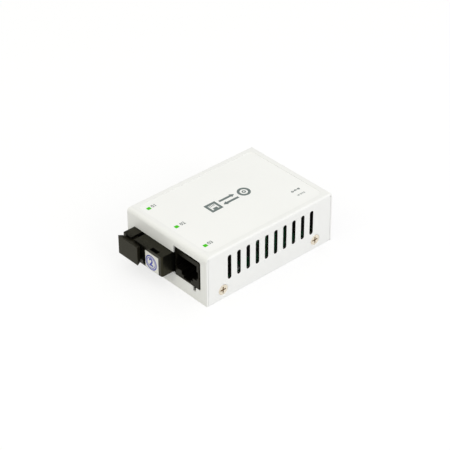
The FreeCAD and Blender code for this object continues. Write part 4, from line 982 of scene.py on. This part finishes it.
def grow(name, tree, mesh, body, finish, sizes):
    # run a tree on a mesh of points or faces and keep its result as a plain mesh; sizes in mm
    item = linkMesh(name, mesh)
    modifier = item.modifiers.new("fitting", "NODES")
    modifier.node_group = tree
    sockets = {socket.name: socket.identifier for socket in tree.interface.items_tree
               if socket.in_out == "INPUT"}
    modifier[sockets["Material"]] = finish
    for label, size in sizes.items():
        modifier[sockets[label]] = scaled(size, mm) if isinstance(size, tuple) else size * mm
    finished(item)
    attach(item, body)
    return item


def pointMesh(name, places):
    # places are (point, axis) pairs in metres
    mesh = bpy.data.meshes.new(name)
    mesh.from_pydata([point for point, _ in places], [], [])
    axes = mesh.attributes.new("axis", "FLOAT_VECTOR", "POINT")
    for item, (_, axis) in zip(axes.data, places):
        item.vector = axis
    return mesh


filletTree = makeFilletTree()
threadTree = makeThreadTree()
leadTree = makeLeadTree()
capTree = makeCapTree()
viaTree = makeViaTree()

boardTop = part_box("circuit_board")[1].z
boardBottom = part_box("circuit_board")[0].z
case = bodyOf("circuit_board")


def evenly(low, high, count):
    return [low + (high - low) * i / (count - 1) for i in range(count)]


# in mm; half is half a tail's width, and the wires' rows are measured from their rear
filletSizes = {"Foot Radius": 0.62, "Tip Radius": 0.3, "Height": 0.55}
pinTails = {"count": 9, "half": 0.23}
wireTails = {"count": 8, "half": 0.2, "rearRow": 0.175, "frontRow": 2.675}


def makeSolder():
    # one fillet under the board for each tail that comes through it
    low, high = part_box("transceiver_pins")
    half, row = pinTails["half"] * mm, (low.y + high.y) / 2
    spots = [(x, row) for x in evenly(low.x + half, high.x - half, pinTails["count"])]
    low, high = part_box("jack_contacts")
    half = wireTails["half"] * mm
    rows = (high.y - wireTails["rearRow"] * mm, high.y - wireTails["frontRow"] * mm)
    wires = evenly(low.x + half, high.x - half, wireTails["count"])
    spots += [(x, rows[(i + 1) % 2]) for i, x in enumerate(wires)]
    mesh = pointMesh("solderFillets", [((x, y, boardBottom), (0, 0, -1)) for x, y in spots])
    grow("solderFillets", filletTree, mesh, case, solder, filletSizes)


# M3 coarse thread, from the chamfer at the screw's tip to its neck
threadSizes = {"Radius": 1.34, "Pitch": 0.5, "Length": 2.2, "Ridge": 0.15}
threadStart = 3.4                       # behind the head's face


def makeThreads():
    low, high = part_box("case_screws")
    level, headRadius = (low.z + high.z) / 2, (high.z - low.z) / 2
    start = high.x - threadStart * mm
    rows = (low.y + headRadius, high.y - headRadius)
    places = [((side * start, y, level), (side, 0, 0)) for side in (1, -1) for y in rows]
    grow("caseScrewThreads", threadTree, pointMesh("caseScrewThreads", places), case,
         finishes["case_screw_metal"], threadSizes)


chipLeads = {"count": 16, "pitch": 0.5, "level": 0.5}
leadSizes = {"Reach": 1.0, "Shoulder": 0.42, "Width": 0.22, "Gauge": 0.12}


def makeChipLeads():
    low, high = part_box("converter_chip")
    middle, half = (low + high) / 2, (high.x - low.x) / 2
    level = boardTop + chipLeads["level"] * mm
    count, pitch = chipLeads["count"], chipLeads["pitch"] * mm
    places = []
    for turned in range(4):
        angle = turned * math.pi / 2
        out = Vector((math.cos(angle), math.sin(angle), 0))
        along = Vector((-out.y, out.x, 0))
        for i in range(count):
            spot = Vector((middle.x, middle.y, level)) + out * half + along * (i - (count - 1) / 2) * pitch
            places.append((tuple(spot), tuple(out)))
    grow("chipLeads", leadTree, pointMesh("chipLeads", places), case, solder, leadSizes)


endCaps = {"rows": {"chip_capacitors": 6, "chip_resistors": 5}, "half": 0.4, "inset": 0.17}
capSizes = {"Size": (0.86, 0.38, 0.6)}


def makeEndCaps():
    # tinned ends on the small two-ended parts
    half, inset = endCaps["half"] * mm, endCaps["inset"] * mm
    places = []
    for node, count in endCaps["rows"].items():
        low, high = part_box(node)
        for x in evenly(low.x + half, high.x - half, count):
            for y in (low.y + inset, high.y - inset):
                places.append(((x, y, (low.z + high.z) / 2), (0, 0, 1)))
    grow("partEndCaps", capTree, pointMesh("partEndCaps", places), case, solder, capSizes)


viaField = {"sides": 4.0, "front": 38.0, "rear": 2.0, "lift": 0.01}     # margins of the board left plain


def makeVias():
    low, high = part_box("circuit_board")
    left, right = low.x + viaField["sides"] * mm, high.x - viaField["sides"] * mm
    near, far = low.y + viaField["front"] * mm, high.y - viaField["rear"] * mm
    level = boardTop + viaField["lift"] * mm
    mesh = bpy.data.meshes.new("boardVias")
    mesh.from_pydata([(left, near, level), (right, near, level), (right, far, level), (left, far, level)],
                     [], [(0, 1, 2, 3)])
    grow("boardVias", viaTree, mesh, case, solder, {})


makeSolder()
makeThreads()
makeChipLeads()
makeEndCaps()
makeVias()
print("fittings made")
